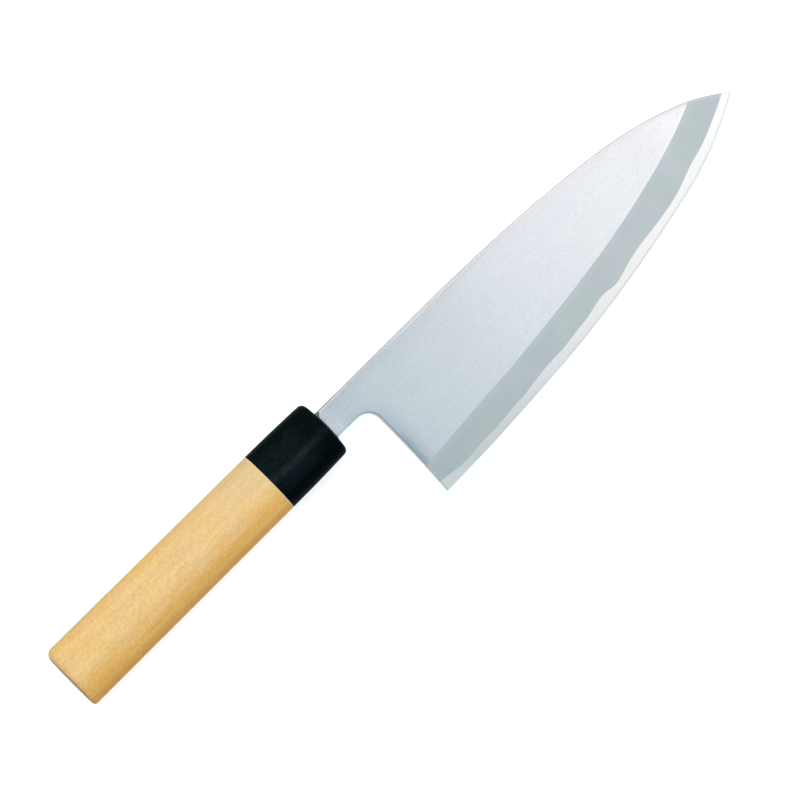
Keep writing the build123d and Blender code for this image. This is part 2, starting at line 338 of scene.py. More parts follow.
class Tree:
    """A node tree with short calls that add and join nodes. A value may be a socket or a plain number."""

    def __init__(self, tree: Any) -> None:
        """Keeps the tree."""
        self.tree = tree

    def add(self, kind: str, **settings: Any) -> Any:
        """Adds a node.

        Args:
            kind: the node's type, without its ShaderNode prefix.
            settings: properties to set on it.

        Returns:
            The node.
        """
        node = self.tree.nodes.new(kind if kind.startswith("Node") else "ShaderNode" + kind)
        for name, value in settings.items():
            setattr(node, name, value)
        return node

    def join(self, source: Any, target: Any) -> None:
        """Joins an output socket to an input socket."""
        self.tree.links.new(source, target)

    def feed(self, node: Any, values: dict) -> Any:
        """Feeds a node's inputs: a socket is joined, and a plain value is set.

        Args:
            node: the node.
            values: input's name or number to socket or value.

        Returns:
            The node.
        """
        for key, value in values.items():
            if isinstance(value, bpy.types.NodeSocket):
                self.join(value, node.inputs[key])
            else:
                node.inputs[key].default_value = value
        return node

    def math(self, operation: str, *values: Any, clamp: bool = False) -> Any:
        """Adds a Math node for up to three values, and gives its result, which a clamp holds in 0 to 1."""
        node = self.add("Math", operation=operation, use_clamp=clamp)
        return self.feed(node, dict(enumerate(values))).outputs[0]

    def times(self, *values: Any) -> Any:
        """The product of two or more values."""
        return reduce(lambda first, second: self.math("MULTIPLY", first, second), values)

    def plus(self, *values: Any) -> Any:
        """The sum of two or more values."""
        return reduce(lambda first, second: self.math("ADD", first, second), values)

    def rest(self, value: Any) -> Any:
        """What a value leaves of 1."""
        return self.math("SUBTRACT", 1.0, value)

    def centred(self, value: Any, size: float, middle: float = 0.0) -> Any:
        """A value that runs from 0 to 1 made to run over a size, round a middle."""
        return self.math("MULTIPLY_ADD", value, size, middle - size / 2)

    def spread(self, value: Any, low: float, high: float, to_low: float = 0.0, to_high: float = 1.0,
               smooth: bool = True) -> Any:
        """Maps a value from the range low to high to another range, and holds it inside."""
        node = self.add("MapRange", interpolation_type="SMOOTHSTEP" if smooth else "LINEAR")
        return self.feed(node, dict(enumerate((value, low, high, to_low, to_high)))).outputs[0]

    def swing(self, value: Any, to_low: float = 0.0, to_high: float = 1.0) -> Any:
        """Maps the middle of a noise's range, where most of it lies, evenly to another range."""
        return self.spread(value, *NOISE_RANGE, to_low, to_high, smooth=False)

    def blend(self, share: Any, first: Any, second: Any, mode: str = "MIX") -> Any:
        """Mixes two colours, by the share of the second, in the way that the mode names."""
        node = self.add("Mix", data_type="RGBA", blend_type=mode)
        return self.feed(node, {0: share, 6: first, 7: second}).outputs[2]

    def tint(self, color: Any, by: Any, share: Any = 1.0) -> Any:
        """A colour multiplied by another colour or a value."""
        return self.blend(share, color, by, "MULTIPLY")

    def mean(self, share: Any, first: Any, second: Any) -> Any:
        """Two values mixed by a share."""
        node = self.add("Mix", data_type="FLOAT")
        return self.feed(node, {0: share, 2: first, 3: second}).outputs[0]

    def knife_place(self) -> Any:
        """Turns Object coordinates back to the knife's own axes, in metres.

        Returns:
            The place.
        """
        matrix = POSE.back_to_knife()
        mapping = self.add("Mapping", vector_type="POINT")
        self.feed(mapping, {"Location": matrix.to_translation(), "Rotation": matrix.to_euler("XYZ"),
                            "Vector": self.add("TexCoord").outputs["Object"]})
        return mapping.outputs["Vector"]

    def knife_axis(self, axis: Axis) -> Any:
        """Place along one of the knife's own axes, in millimetres."""
        split = self.feed(self.add("SeparateXYZ"), {0: self.knife_place()})
        return self.times(split.outputs[axis.value], 1 / MM)

    def stretched(self, place: Any, stretch: Any) -> Any:
        """A place with each axis multiplied, in steps per metre."""
        return self.feed(self.add("VectorMath", operation="MULTIPLY"), {0: place, 1: stretch}).outputs[0]

    def noise(self, place: Any, scale: Any = 1.0, detail: float = 2.0, rough: float = 0.5,
              bent: float = 0.0) -> Any:
        """Adds a noise texture.

        Args:
            place: where it is read.
            scale: steps for each unit of the place.
            detail: how many finer layers it has.
            rough: how strong each finer layer is.
            bent: how far it is distorted.

        Returns:
            Its value, around one half.
        """
        node = self.add("TexNoise")
        return self.feed(node, {"Vector": place, "Scale": scale, "Detail": detail, "Roughness": rough,
                                "Distortion": bent}).outputs[0]

    def attribute(self, name: str) -> Any:
        """A named value kept on the mesh."""
        return self.add("Attribute", attribute_type="GEOMETRY", attribute_name=name).outputs["Fac"]


def toned(color: tuple, share: float) -> tuple:
    """A colour made lighter or darker by a share."""
    return tuple(part * share for part in color[:3]) + (1,)


def new_group(name: str, inputs: dict, outputs: dict) -> tuple:
    """Makes a shader node group with named sockets.

    Args:
        name: the group's name.
        inputs: name to default value, a number or a colour.
        outputs: name to socket kind.

    Returns:
        The group, its tree, its inputs by name, and its output node.
    """
    group = bpy.data.node_groups.new(name, "ShaderNodeTree")
    for label, value in inputs.items():
        kind = "Color" if isinstance(value, tuple) else "Float"
        socket = group.interface.new_socket(name=label, in_out="INPUT", socket_type="NodeSocket" + kind)
        socket.default_value = value
    for label, kind in outputs.items():
        group.interface.new_socket(name=label, in_out="OUTPUT", socket_type="NodeSocket" + kind)
    tree = Tree(group)
    return group, tree, tree.add("NodeGroupInput").outputs, tree.add("NodeGroupOutput")


def ground_lines() -> Any:
    """Makes the group for the fine lines of a ground or brushed face.

    It is noise that changes fast across the lines and slowly along them, turned by an angle.

    Returns:
        The group, whose height and shade lie around one half.
    """
    group, tree, given, result = new_group("ground_lines", {"Along": 60.0, "Across": 5000.0, "Turn": 0.0},
                                           {"Height": "Float", "Shade": "Float"})
    turned = tree.feed(tree.add("VectorRotate", rotation_type="Z_AXIS"),
                       {"Vector": tree.knife_place(), "Angle": given["Turn"]})
    steps = tree.feed(tree.add("CombineXYZ"), {0: given["Along"], 1: given["Across"], 2: given["Across"]})
    place = tree.stretched(turned.outputs[0], steps.outputs[0])
    fine = tree.noise(place, 1.0, 3.0, 0.6)
    wide = tree.noise(place, 0.22, 2.0, 0.5)
    tree.feed(result, {"Height": fine, "Shade": tree.mean(0.35, fine, wide)})
    return group


def soft_clouds() -> Any:
    """Makes the group for the faint uneven haze that stones, fingers or dust leave.

    Returns:
        The group, whose cloud and speckle lie around one half.
    """
    group, tree, given, result = new_group("soft_clouds", {"Size": 90.0, "Fine": 900.0},
                                           {"Cloud": "Float", "Speckle": "Float"})
    place = tree.knife_place()
    tree.feed(result, {"Cloud": tree.noise(place, given["Size"], 3.0, 0.55, 0.4),
                       "Speckle": tree.noise(place, given["Fine"], 2.0, 0.6)})
    return group


@dataclass(frozen=True)
class MagnoliaFigure:
    """Straight-grained magnolia. Rings round a far-off pith give streaks along the grip and arcs on its
    butt, with fibres, specks, mottled yellow and short dark flecks on top. Places are in metres, and
    each stretch is in steps per metre along, across and up."""

    pith_across: float = 0.021
    pith_up: float = 0.034
    ring_width: float = 0.0027
    ring_waver: float = 0.0042
    waver: tuple = (7.0, 45.0, 45.0)
    fibre: tuple = (60.0, 800.0, 800.0)
    streak: tuple = (16.0, 420.0, 420.0)
    speck: tuple = (950.0, 760.0, 760.0)
    pore: tuple = (170.0, 2300.0, 2300.0)
    pore_patch: tuple = (30.0, 90.0, 90.0)
    mottle_scale: float = 110.0
    bluer: tuple = (1, 1, 1.10, 1)
    yellower: tuple = (1, 1, 0.90, 1)

    def rings(self, tree: Tree, place: Any) -> Any:
        """Rings: a sine of the distance from the pith, which wavers along the grip.

        Args:
            tree: the group's tree.
            place: place in the knife's axes.

        Returns:
            The rings, from 0 to 1.
        """
        waver = tree.noise(tree.stretched(place, self.waver), 1.0, 2.0, 0.5)
        split = tree.feed(tree.add("SeparateXYZ"), {0: place}).outputs
        across = tree.plus(split[Axis.ACROSS.value], self.pith_across)
        up = tree.plus(split[Axis.UP.value], self.pith_up)
        far = tree.math("SQRT", tree.plus(tree.times(across, across), tree.times(up, up)))
        far = tree.math("MULTIPLY_ADD", waver, self.ring_waver, far)
        return tree.spread(tree.math("SINE", tree.times(far, 2 * math.pi / self.ring_width)), -1.0, 1.0)

    def group(self) -> Any:
        """Makes the group.

        Returns:
            The group, which puts out the colour, a height and the fibres.
        """
        inputs = {"Pale": (0.9, 0.64, 0.31, 1), "Dark": (0.8, 0.53, 0.23, 1), "Fleck": (0.62, 0.38, 0.16, 1)}
        outputs = {"Color": "Color", "Height": "Float", "Fibre": "Float"}
        group, tree, given, result = new_group("magnolia_figure", inputs, outputs)
        place = tree.knife_place()
        fibre = tree.noise(tree.stretched(place, self.fibre), 1.0, 2.0, 0.6)
        streak = tree.noise(tree.stretched(place, self.streak), 1.0, 3.0, 0.6)
        speck = tree.noise(tree.stretched(place, self.speck), 1.0, 1.0, 0.5)
        share = tree.plus(tree.times(self.rings(tree, place), 0.1), tree.times(fibre, 0.4),
                          tree.times(streak, 0.2), tree.times(speck, 0.6))
        share = tree.spread(share, 0.43, 0.84, smooth=False)
        color = tree.blend(share, given["Pale"], given["Dark"])
        light = tree.plus(tree.times(fibre, 0.4), tree.times(speck, 0.6))
        color = tree.tint(color, tree.swing(light, 1.04, 0.96))
        mottle = tree.swing(tree.noise(place, self.mottle_scale, 1.0, 0.5))
        color = tree.tint(color, tree.blend(mottle, self.yellower, self.bluer))
        pore = tree.spread(tree.noise(tree.stretched(place, self.pore), 1.0, 1.0, 0.5), 0.66, 0.76)
        patch = tree.spread(tree.noise(tree.stretched(place, self.pore_patch), 1.0, 1.0, 0.5), 0.42, 0.7)
        pore = tree.times(pore, tree.math("MULTIPLY_ADD", patch, 0.6, 0.25))
        color = tree.blend(tree.times(pore, 0.35), color, given["Fleck"])
        tree.feed(result, {"Color": color, "Height": tree.math("SUBTRACT", fibre, pore), "Fibre": fibre})
        return group


class Effects:
    """The shader groups that several finishes share, each built once."""

    def __init__(self) -> None:
        """Builds the groups."""
        self.lines, self.clouds, self.magnolia = ground_lines(), soft_clouds(), MagnoliaFigure().group()

    def use(self, tree: Tree, group: Any, **values: Any) -> Any:
        """Places a group in a material, with a value for each named input, and gives its outputs."""
        return tree.feed(tree.add("Group", node_tree=group), values).outputs


# Finishes


class Finish:
    """A finish: a named material whose nodes its own kind of finish puts in."""

    name: str

    def dress(self, tree: Tree, shader: Any, effects: Effects) -> None:
        """Puts in the finish's nodes, which each kind of finish has of its own."""
        raise NotImplementedError

    def material(self, effects: Effects) -> Any:
        """Builds the material.

        Args:
            effects: the shared shader groups.

        Returns:
            The material.
        """
        material = bpy.data.materials.new(self.name)
        material.use_nodes = True
        material.node_tree.nodes.clear()
        tree = Tree(material.node_tree)
        shader = tree.add("BsdfPrincipled")
        tree.join(shader.outputs[0], tree.add("OutputMaterial").inputs["Surface"])
        self.dress(tree, shader, effects)
        return material


def bumped(tree: Tree, height: Any, strength: float, distance: float) -> Any:
    """A Bump node's normal for a height, with its strength and its distance in metres."""
    bump = tree.feed(tree.add("Bump"), {"Strength": strength, "Distance": distance, "Height": height})
    return bump.outputs[0]


@dataclass(frozen=True)
class IronFinish(Finish):
    """Soft iron: a satin flat with fine lengthwise lines and a hazy bevel with green and blue patches, with
    painted shade round the choil and the chin and on the spine, and painted light from heel to tip."""

    name: str = "forged_soft_iron"
    flat: tuple = (0.80, 0.83, 0.855, 1)
    # Painted shade and haze: a darker bluish tone, for painted shade towards the heel and round choil and
    # chin, and for faint clouds.
    haze_and_shade: tuple = (0.54, 0.61, 0.665, 1)
    # Painted light: a warm tone for the flat towards the tip.
    painted_tip_tone: tuple = (0.975, 0.97, 0.965, 1)
    bevel: tuple = (0.630, 0.663, 0.692, 1)
    green: tuple = (0.617, 0.667, 0.655, 1)
    # Painted light along the blade: shade for the bevel at the heel and a cool tone at its tip.
    bevel_heel_shade: tuple = (0.96, 0.965, 0.985, 1)
    bevel_tip_tone: tuple = (0.99, 0.99, 1.0, 1)
    # Painted shade: colour of the dark line along the chin's rounded edge.
    chin: tuple = (0.68, 0.63, 0.62, 1)
    # Painted shade: darker colours for the walls and the rounded spine, the spine darkest at the heel.
    wall: tuple = (0.64, 0.60, 0.585, 1)
    shaded_spine_heel: tuple = (0.455, 0.47, 0.49, 1)
    shaded_spine_tip: tuple = (0.70, 0.68, 0.68, 1)
    grazing: tuple = (0.45, 0.46, 0.47, 1)
    flat_rough: float = 0.36
    bevel_rough: float = 0.66
    # Where each change starts and ends, as shares of the way from heel to tip.
    heel_shade_run: tuple = (0.42, 0.03)
    spine_shade_run: tuple = (0.46, 0.22)
    tip_tone_run: tuple = (0.6, 0.8)
    tip_highlight_run: tuple = (0.80, 0.86)
    catch_run: tuple = (0.55, 0.95)
    bevel_heel_run: tuple = (0.2, 0.0)
    bevel_tip_run: tuple = (0.78, 0.9)
    spine_run: tuple = (0.03, 0.53)
    spine_narrowing: tuple = (0.15, 0.42)
    # Where each change starts and ends, in millimetres from ridge, chin or spine.
    catch_reach: tuple = (0.9, 0.3)
    pale_reach: tuple = (-3.2, -0.2)
    spine_shade_reach: tuple = (26.0, 1.0)
    near_spine_reach: tuple = (6.0, 1.0)
    spine_heel_reach: tuple = (0.8, 0.35)
    spine_tip_reach: tuple = (1.9, 0.8)
    spine_wall_reach: tuple = (0.4, 0.2)
    choil_shade_reach: tuple = (8.5, 0.5)
    deep_shade_reach: tuple = (3.2, 1.4)
    deep_shade_start: tuple = (0.7, 1.4)
    shade_line_reach: tuple = (1.2, 0.3)
    # Where each change starts and ends along and across the knife, in millimetres.
    spine_shade_from_neck: tuple = (1.0, 7.0)
    neck_along: tuple = (9.0, 2.0)
    neck_across: tuple = (1.0, -3.0)
    choil_shade_along: tuple = (3.0, 8.0)
    choil_shade_across: tuple = (-4.0, -24.0)
    deep_shade_across: tuple = (-17.0, -26.0)

    def satin(self, tree: Tree, lines: Any, clouds: Any) -> Any:
        """Colour of the flat: fine lines and faint clouds, painted shade towards heel and spine, painted
        light towards the tip, a catch of light along the ridge, a paler neck and fine specks.

        Args:
            tree: the material's tree.
            lines: the lengthwise lines.
            clouds: the haze.

        Returns:
            The colour.
        """
        to_tip, from_spine = tree.attribute("to_tip"), tree.attribute("from_spine")
        color = tree.blend(tree.swing(lines["Shade"]), toned(self.flat, 1.03), toned(self.flat, 0.965))
        # Painted shade: the flat darkens towards the heel.
        color = tree.blend(tree.spread(to_tip, *self.heel_shade_run, 0.0, 0.21), color, self.haze_and_shade)
        # Painted shade: the flat darkens towards the spine, most at the heel.
        spine_shade = tree.plus(tree.spread(from_spine, *self.spine_shade_reach, 0.0, 0.07, smooth=False),
                         tree.spread(from_spine, *self.near_spine_reach, 0.0, 0.04))
        spine_shade = tree.times(spine_shade, tree.spread(to_tip, *self.spine_shade_run, 0.35, 1.0),
                          tree.spread(tree.knife_axis(Axis.ALONG), *self.spine_shade_from_neck, 0.4, 1.0))
        color = tree.tint(color, tree.rest(spine_shade))
        # Painted light: the flat takes a warm tone towards the tip.
        color = tree.tint(color, self.painted_tip_tone, tree.spread(to_tip, *self.tip_tone_run))
        color = tree.blend(tree.swing(clouds["Cloud"], 0.0, 0.07), color, self.haze_and_shade)
        catch = tree.times(tree.spread(tree.attribute("from_ridge"), *self.catch_reach, 0.0, 0.45),
                           tree.spread(to_tip, *self.catch_run))
        color = tree.blend(catch, color, toned(self.flat, 1.13))
        # Painted highlight: the flat brightens near the tip.
        color = tree.tint(color, tree.spread(to_tip, *self.tip_highlight_run, 1.0, 1.04))
        neck = tree.times(tree.spread(tree.knife_axis(Axis.ALONG), *self.neck_along),
                          tree.spread(tree.knife_axis(Axis.ACROSS), *self.neck_across, 0.0, 0.085))
        return tree.tint(color, tree.plus(tree.swing(clouds["Speckle"], 1.055, 0.945), neck))

    def hazy(self, tree: Tree, cross_lines: Any, clouds: Any, patches: Any) -> Any:
        """Colour of the bevel: grinding lines under green and blue patches, a little paler at the ridge,
        with painted shade at the heel and a painted cool tone at the tip.

        Args:
            tree: the material's tree.
            cross_lines: the lines across the bevel.
            clouds: the fine haze.
            patches: the wide haze.

        Returns:
            The colour.
        """
        to_tip = tree.attribute("to_tip")
        haze = tree.plus(tree.times(clouds["Cloud"], 0.6), tree.times(cross_lines["Shade"], 0.4))
        color = tree.blend(tree.spread(patches["Cloud"], 0.38, 0.62), self.bevel, self.green)
        color = tree.tint(color, tree.swing(haze, 1.035, 0.965))
        # Painted shade at the heel and a painted cool tone at the tip.
        color = tree.tint(color, self.bevel_heel_shade, tree.spread(to_tip, *self.bevel_heel_run))
        color = tree.tint(color, self.bevel_tip_tone, tree.spread(to_tip, *self.bevel_tip_run))
        near_ridge = tree.spread(tree.attribute("from_ridge"), *self.pale_reach, 0.0, 0.35)
        return tree.blend(near_ridge, color, toned(self.bevel, 1.07))

    def eased(self, tree: Tree, color: Any, on_bevel: Any) -> Any:
        """Colour near the outline, all of it painted shade: darker and bluer round choil and chin, with a
        deeper strip and a dark line along the chin, and darker along the spine and on the walls.

        Args:
            tree: the material's tree.
            color: colour of flat and bevel.
            on_bevel: 1 on the bevel and 0 on the flat.

        Returns:
            The colour.
        """
        from_chin, from_spine = tree.attribute("from_chin"), tree.attribute("from_spine")
        to_tip, across = tree.attribute("to_tip"), tree.knife_axis(Axis.ACROSS)
        # Painted shade: the flat turns darker and bluer round the choil and along the chin.
        choil_shade = tree.times(tree.spread(from_chin, *self.choil_shade_reach, 0.0, 0.88),
                           tree.spread(tree.knife_axis(Axis.ALONG), *self.choil_shade_along),
                           tree.spread(across, *self.choil_shade_across, 0.35, 1.1), tree.rest(on_bevel))
        color = tree.blend(choil_shade, color, self.haze_and_shade)
        # Painted shade: a darker strip just inside the chin's edge.
        deep_shade = tree.times(tree.spread(from_chin, *self.deep_shade_reach), tree.spread(from_chin, *self.deep_shade_start),
                          tree.spread(across, *self.deep_shade_across, 0.0, 0.17), tree.rest(on_bevel))
        color = tree.tint(color, tree.rest(deep_shade))
        # Painted shade: a thin dark line along the chin's rounded edge, stronger lower down the chin.
        line = tree.times(tree.spread(from_chin, *self.shade_line_reach),
                          tree.math("MULTIPLY_ADD", tree.attribute("down_chin"), 0.40, 0.15))
        color = tree.blend(line, color, self.chin)
        # Painted shade: the rounded spine and the walls are darkened, the spine most at the heel.
        spine = tree.blend(tree.spread(to_tip, *self.spine_run, smooth=False), self.shaded_spine_heel,
                           self.shaded_spine_tip)
        near = tree.mean(tree.spread(to_tip, *self.spine_narrowing),
                         tree.spread(from_spine, *self.spine_heel_reach),
                         tree.spread(from_spine, *self.spine_tip_reach))
        color = tree.blend(near, color, spine)
        wall = tree.blend(tree.spread(from_spine, *self.spine_wall_reach), self.wall, spine)
        return tree.blend(tree.attribute("top_side"), wall, color)

    def dress(self, tree: Tree, shader: Any, effects: Effects) -> None:
        """Puts in the finish's nodes.

        Args:
            tree: the material's tree.
            shader: its Principled BSDF.
            effects: the shared shader groups.
        """
        clouds = effects.use(tree, effects.clouds, Size=70.0, Fine=1300.0)
        patches = effects.use(tree, effects.clouds, Size=60.0, Fine=400.0)
        lines = effects.use(tree, effects.lines, Along=90.0, Across=3800.0, Turn=0.0)
        cross_lines = effects.use(tree, effects.lines, Along=5200.0, Across=220.0, Turn=0.06)
        past = tree.plus(tree.attribute("from_ridge"), tree.centred(clouds["Speckle"], 0.3))
        on_bevel = tree.spread(past, 0.12, -0.12)
        color = tree.blend(on_bevel, self.satin(tree, lines, clouds),
                           self.hazy(tree, cross_lines, clouds, patches))
        rough = tree.mean(on_bevel, self.flat_rough, self.bevel_rough)
        height = tree.mean(on_bevel, lines["Height"], cross_lines["Height"])
        tree.feed(shader, {
            "Base Color": self.eased(tree, color, on_bevel),
            "Metallic": 1.0,
            "Specular Tint": self.grazing,
            "Roughness": tree.plus(rough, tree.centred(clouds["Cloud"], 0.08)),
            "Normal": bumped(tree, height, 0.10, 0.00005),
        })


@dataclass(frozen=True)
class SteelFinish(Finish):
    """Hard steel: a bright, finely stoned band and micro-bevel, and a back with a ground hollow; painted
    shade darkens the band near the heel and along the chin and the spine.
    """

    name: str = "stoned_hard_steel"
    band: tuple = (0.985, 0.955, 0.955, 1)
    micro: tuple = (0.95, 0.915, 0.895, 1)
    # Painted light along the blade: shade near the heel and a cool tone at the tip.
    band_heel_shade: tuple = (0.93, 0.94, 0.93, 1)
    band_tip_tone: tuple = (0.91, 0.955, 0.96, 1)
    # Colour of the weld line, and of the painted shade along the chin and the spine.
    chin: tuple = (0.70, 0.73, 0.74, 1)
    hollow: tuple = (0.66, 0.69, 0.71, 1)
    back_rim: tuple = (0.82, 0.84, 0.85, 1)
    band_rough: float = 0.5
    hollow_rough: float = 0.42
    # Where each change starts and ends, as shares of the way from heel to tip.
    heel_start: tuple = (0.03, 0.1)
    heel_end: tuple = (0.34, 0.2)
    tip_run: tuple = (0.6, 0.95)
    # Where each change starts and ends, in millimetres.
    weld_reach: tuple = (0.6, 0.0)
    micro_reach: tuple = (0.95, 0.7)
    chin_reach: tuple = (1.3, 0.2)
    spine_reach: tuple = (0.7, 0.1)
    hollow_depth: tuple = (0.0, 0.03)

    def dress(self, tree: Tree, shader: Any, effects: Effects) -> None:
        """Puts in the finish's nodes.

        Args:
            tree: the material's tree.
            shader: its Principled BSDF.
            effects: the shared shader groups.
        """
        clouds = effects.use(tree, effects.clouds, Size=130.0, Fine=1500.0)
        stone = effects.use(tree, effects.lines, Along=4200.0, Across=260.0, Turn=0.35)
        wheel = effects.use(tree, effects.lines, Along=3200.0, Across=120.0, Turn=0.12)
        to_tip, top = tree.attribute("to_tip"), tree.attribute("top_side")
        band = tree.blend(tree.swing(stone["Shade"]), self.band, toned(self.band, 0.96))
        below_weld = tree.plus(tree.attribute("from_weld"), tree.centred(clouds["Speckle"], 0.5))
        band = tree.blend(tree.times(tree.spread(below_weld, *self.weld_reach), 0.2), band, self.chin)
        on_micro = tree.spread(tree.attribute("from_edge"), *self.micro_reach)
        color = tree.blend(on_micro, band, self.micro)
        # Painted shade near the heel and a painted cool tone towards the tip.
        near_heel = tree.times(tree.spread(to_tip, *self.heel_start), tree.spread(to_tip, *self.heel_end))
        color = tree.tint(color, self.band_heel_shade, near_heel)
        color = tree.tint(color, self.band_tip_tone, tree.spread(to_tip, *self.tip_run))
        # Painted shade: the band and micro-bevel darken along the chin and the spine.
        outline = tree.math("MAXIMUM", tree.spread(tree.attribute("from_chin"), *self.chin_reach, 0.0, 0.5),
                            tree.spread(tree.attribute("from_spine"), *self.spine_reach, 0.0, 0.7))
        color = tree.blend(outline, color, self.chin)
        in_hollow = tree.spread(tree.attribute("sunk"), *self.hollow_depth)
        hollow = tree.blend(tree.spread(wheel["Shade"], 0.35, 0.65), self.hollow, toned(self.hollow, 0.9))
        back = tree.blend(in_hollow, self.back_rim, hollow)
        rough = tree.mean(tree.times(in_hollow, tree.rest(top)), self.band_rough, self.hollow_rough)
        height = tree.mean(top, wheel["Height"], stone["Height"])
        tree.feed(shader, {
            "Base Color": tree.blend(top, back, color),
            "Metallic": 1.0,
            "Roughness": tree.plus(rough, tree.centred(clouds["Cloud"], 0.08)),
            "Normal": bumped(tree, height, 0.12, 0.00005),
        })


@dataclass(frozen=True)
class WoodFinish(Finish):
    """Bare sanded magnolia, with painted shade that makes the flank under the ridge warmer and both sides
    browner, and a painted fall of light that leaves it paler towards the ferrule and deeper towards the
    butt."""

    name: str = "sanded_magnolia"
    pale: tuple = (0.908, 0.600, 0.270, 1)
    dark: tuple = (0.842, 0.508, 0.194, 1)
    fleck: tuple = (0.62, 0.36, 0.12, 1)
    # Painted shade: the flank under the ridge turns warmer and darker.
    flank_shade: tuple = (1.09, 0.913, 0.61, 1)
    # Painted shade: tints that brown both sides of the grip towards their edges.
    spine_side_shade: tuple = (0.975, 0.93, 0.83, 1)
    edge_side_shade: tuple = (1.08, 0.92, 0.72, 1)
    # Painted light: the paler tone of the upper side towards the ferrule.
    ferrule_end_light: tuple = (0.865, 0.655, 0.432, 1)
    by_seam: tuple = (0.945, 0.965, 0.97, 1)
    # Painted shade: the deeper tone towards the butt.
    deep_shade: tuple = (1.0, 0.977, 0.926, 1)
    # The butt's end grain: partly its own darker colour and partly painted shade.
    end_grain_and_shade: tuple = (0.55, 0.50, 0.45, 1)
    rim: tuple = (0.80, 0.66, 0.44, 1)
    rough: float = 0.58
    # Where each change starts and ends down the flank, as shares of its width.
    flank_run: tuple = (0.25, 0.9)
    # Painted highlight: where the lighter band down the flank lies and how wide it is.
    ridge_highlight_middle: float = 0.42
    ridge_highlight_reach: tuple = (0.3, 0.0)
    # Where each change starts and ends across the knife, in millimetres.
    upper_across: tuple = (-2.0, 6.0)
    spine_across: tuple = (9.0, 11.6)
    edge_across: tuple = (-9.6, -11.6)
    # Where each change starts and ends, in millimetres from the seam with the ferrule.
    ferrule_end_light_reach: tuple = (60.0, 0.0)
    by_seam_reach: tuple = (20.0, 8.0)
    deep_shade_reach: tuple = (50.0, 100.0)
    rim_reach: tuple = (0.75, 0.1)

    def tinted(self, tree: Tree, color: Any) -> Any:
        """The wood's colour with its slow changes, most of them painted light and shade: across the grip,
        and along it from butt to ferrule.

        Args:
            tree: the material's tree.
            color: the figure's colour.

        Returns:
            The colour.
        """
        across = tree.knife_axis(Axis.ACROSS)
        from_seam, below_ridge = tree.attribute("from_seam"), tree.attribute("below_ridge")
        upper = tree.spread(across, *self.upper_across)
        # Painted shade: warmer and darker on the flank under the ridge.
        color = tree.tint(color, self.flank_shade, tree.spread(below_ridge, *self.flank_run))
        # Painted highlight: a lighter band down the flank below the ridge.
        past_ridge = tree.math("ABSOLUTE", tree.math("SUBTRACT", below_ridge, self.ridge_highlight_middle))
        color = tree.tint(color, tree.spread(past_ridge, *self.ridge_highlight_reach, 1.0, 1.045))
        # Painted shade: both sides of the grip turn browner towards their edges.
        color = tree.tint(color, self.spine_side_shade, tree.spread(across, *self.spine_across))
        color = tree.tint(color, self.edge_side_shade, tree.spread(across, *self.edge_across))
        # Painted light: the upper side pales towards the ferrule.
        ferrule_end_light_share = tree.times(tree.spread(from_seam, *self.ferrule_end_light_reach), tree.times(upper, 0.23))
        color = tree.blend(ferrule_end_light_share, color, self.ferrule_end_light)
        near_seam = tree.times(tree.spread(from_seam, *self.by_seam_reach), upper)
        color = tree.tint(color, self.by_seam, near_seam)
        # Painted shade: the wood deepens towards the butt.
        return tree.tint(color, self.deep_shade, tree.spread(from_seam, *self.deep_shade_reach))

    def dress(self, tree: Tree, shader: Any, effects: Effects) -> None:
        """Puts in the finish's nodes.

        Args:
            tree: the material's tree.
            shader: its Principled BSDF.
            effects: the shared shader groups.
        """
        figure = effects.use(tree, effects.magnolia, Pale=self.pale, Dark=self.dark, Fleck=self.fleck)
        clouds = effects.use(tree, effects.clouds, Size=38.0, Fine=700.0)
        color = self.tinted(tree, figure["Color"])
        # Darker end grain on the butt, partly its own colour and partly painted shade.
        color = tree.tint(color, self.end_grain_and_shade, tree.attribute("butt_face"))
        color = tree.blend(tree.spread(tree.attribute("from_seam"), *self.rim_reach), color, self.rim)
        worn = tree.times(tree.spread(clouds["Cloud"], 0.35, 0.7), 0.07)
        tree.feed(shader, {
            "Base Color": tree.blend(worn, color, self.fleck),
            "Specular IOR Level": 0.2,
            "Roughness": tree.centred(figure["Fibre"], 0.12, self.rough),
            "Normal": bumped(tree, figure["Height"], 0.12, 0.00008),
        })


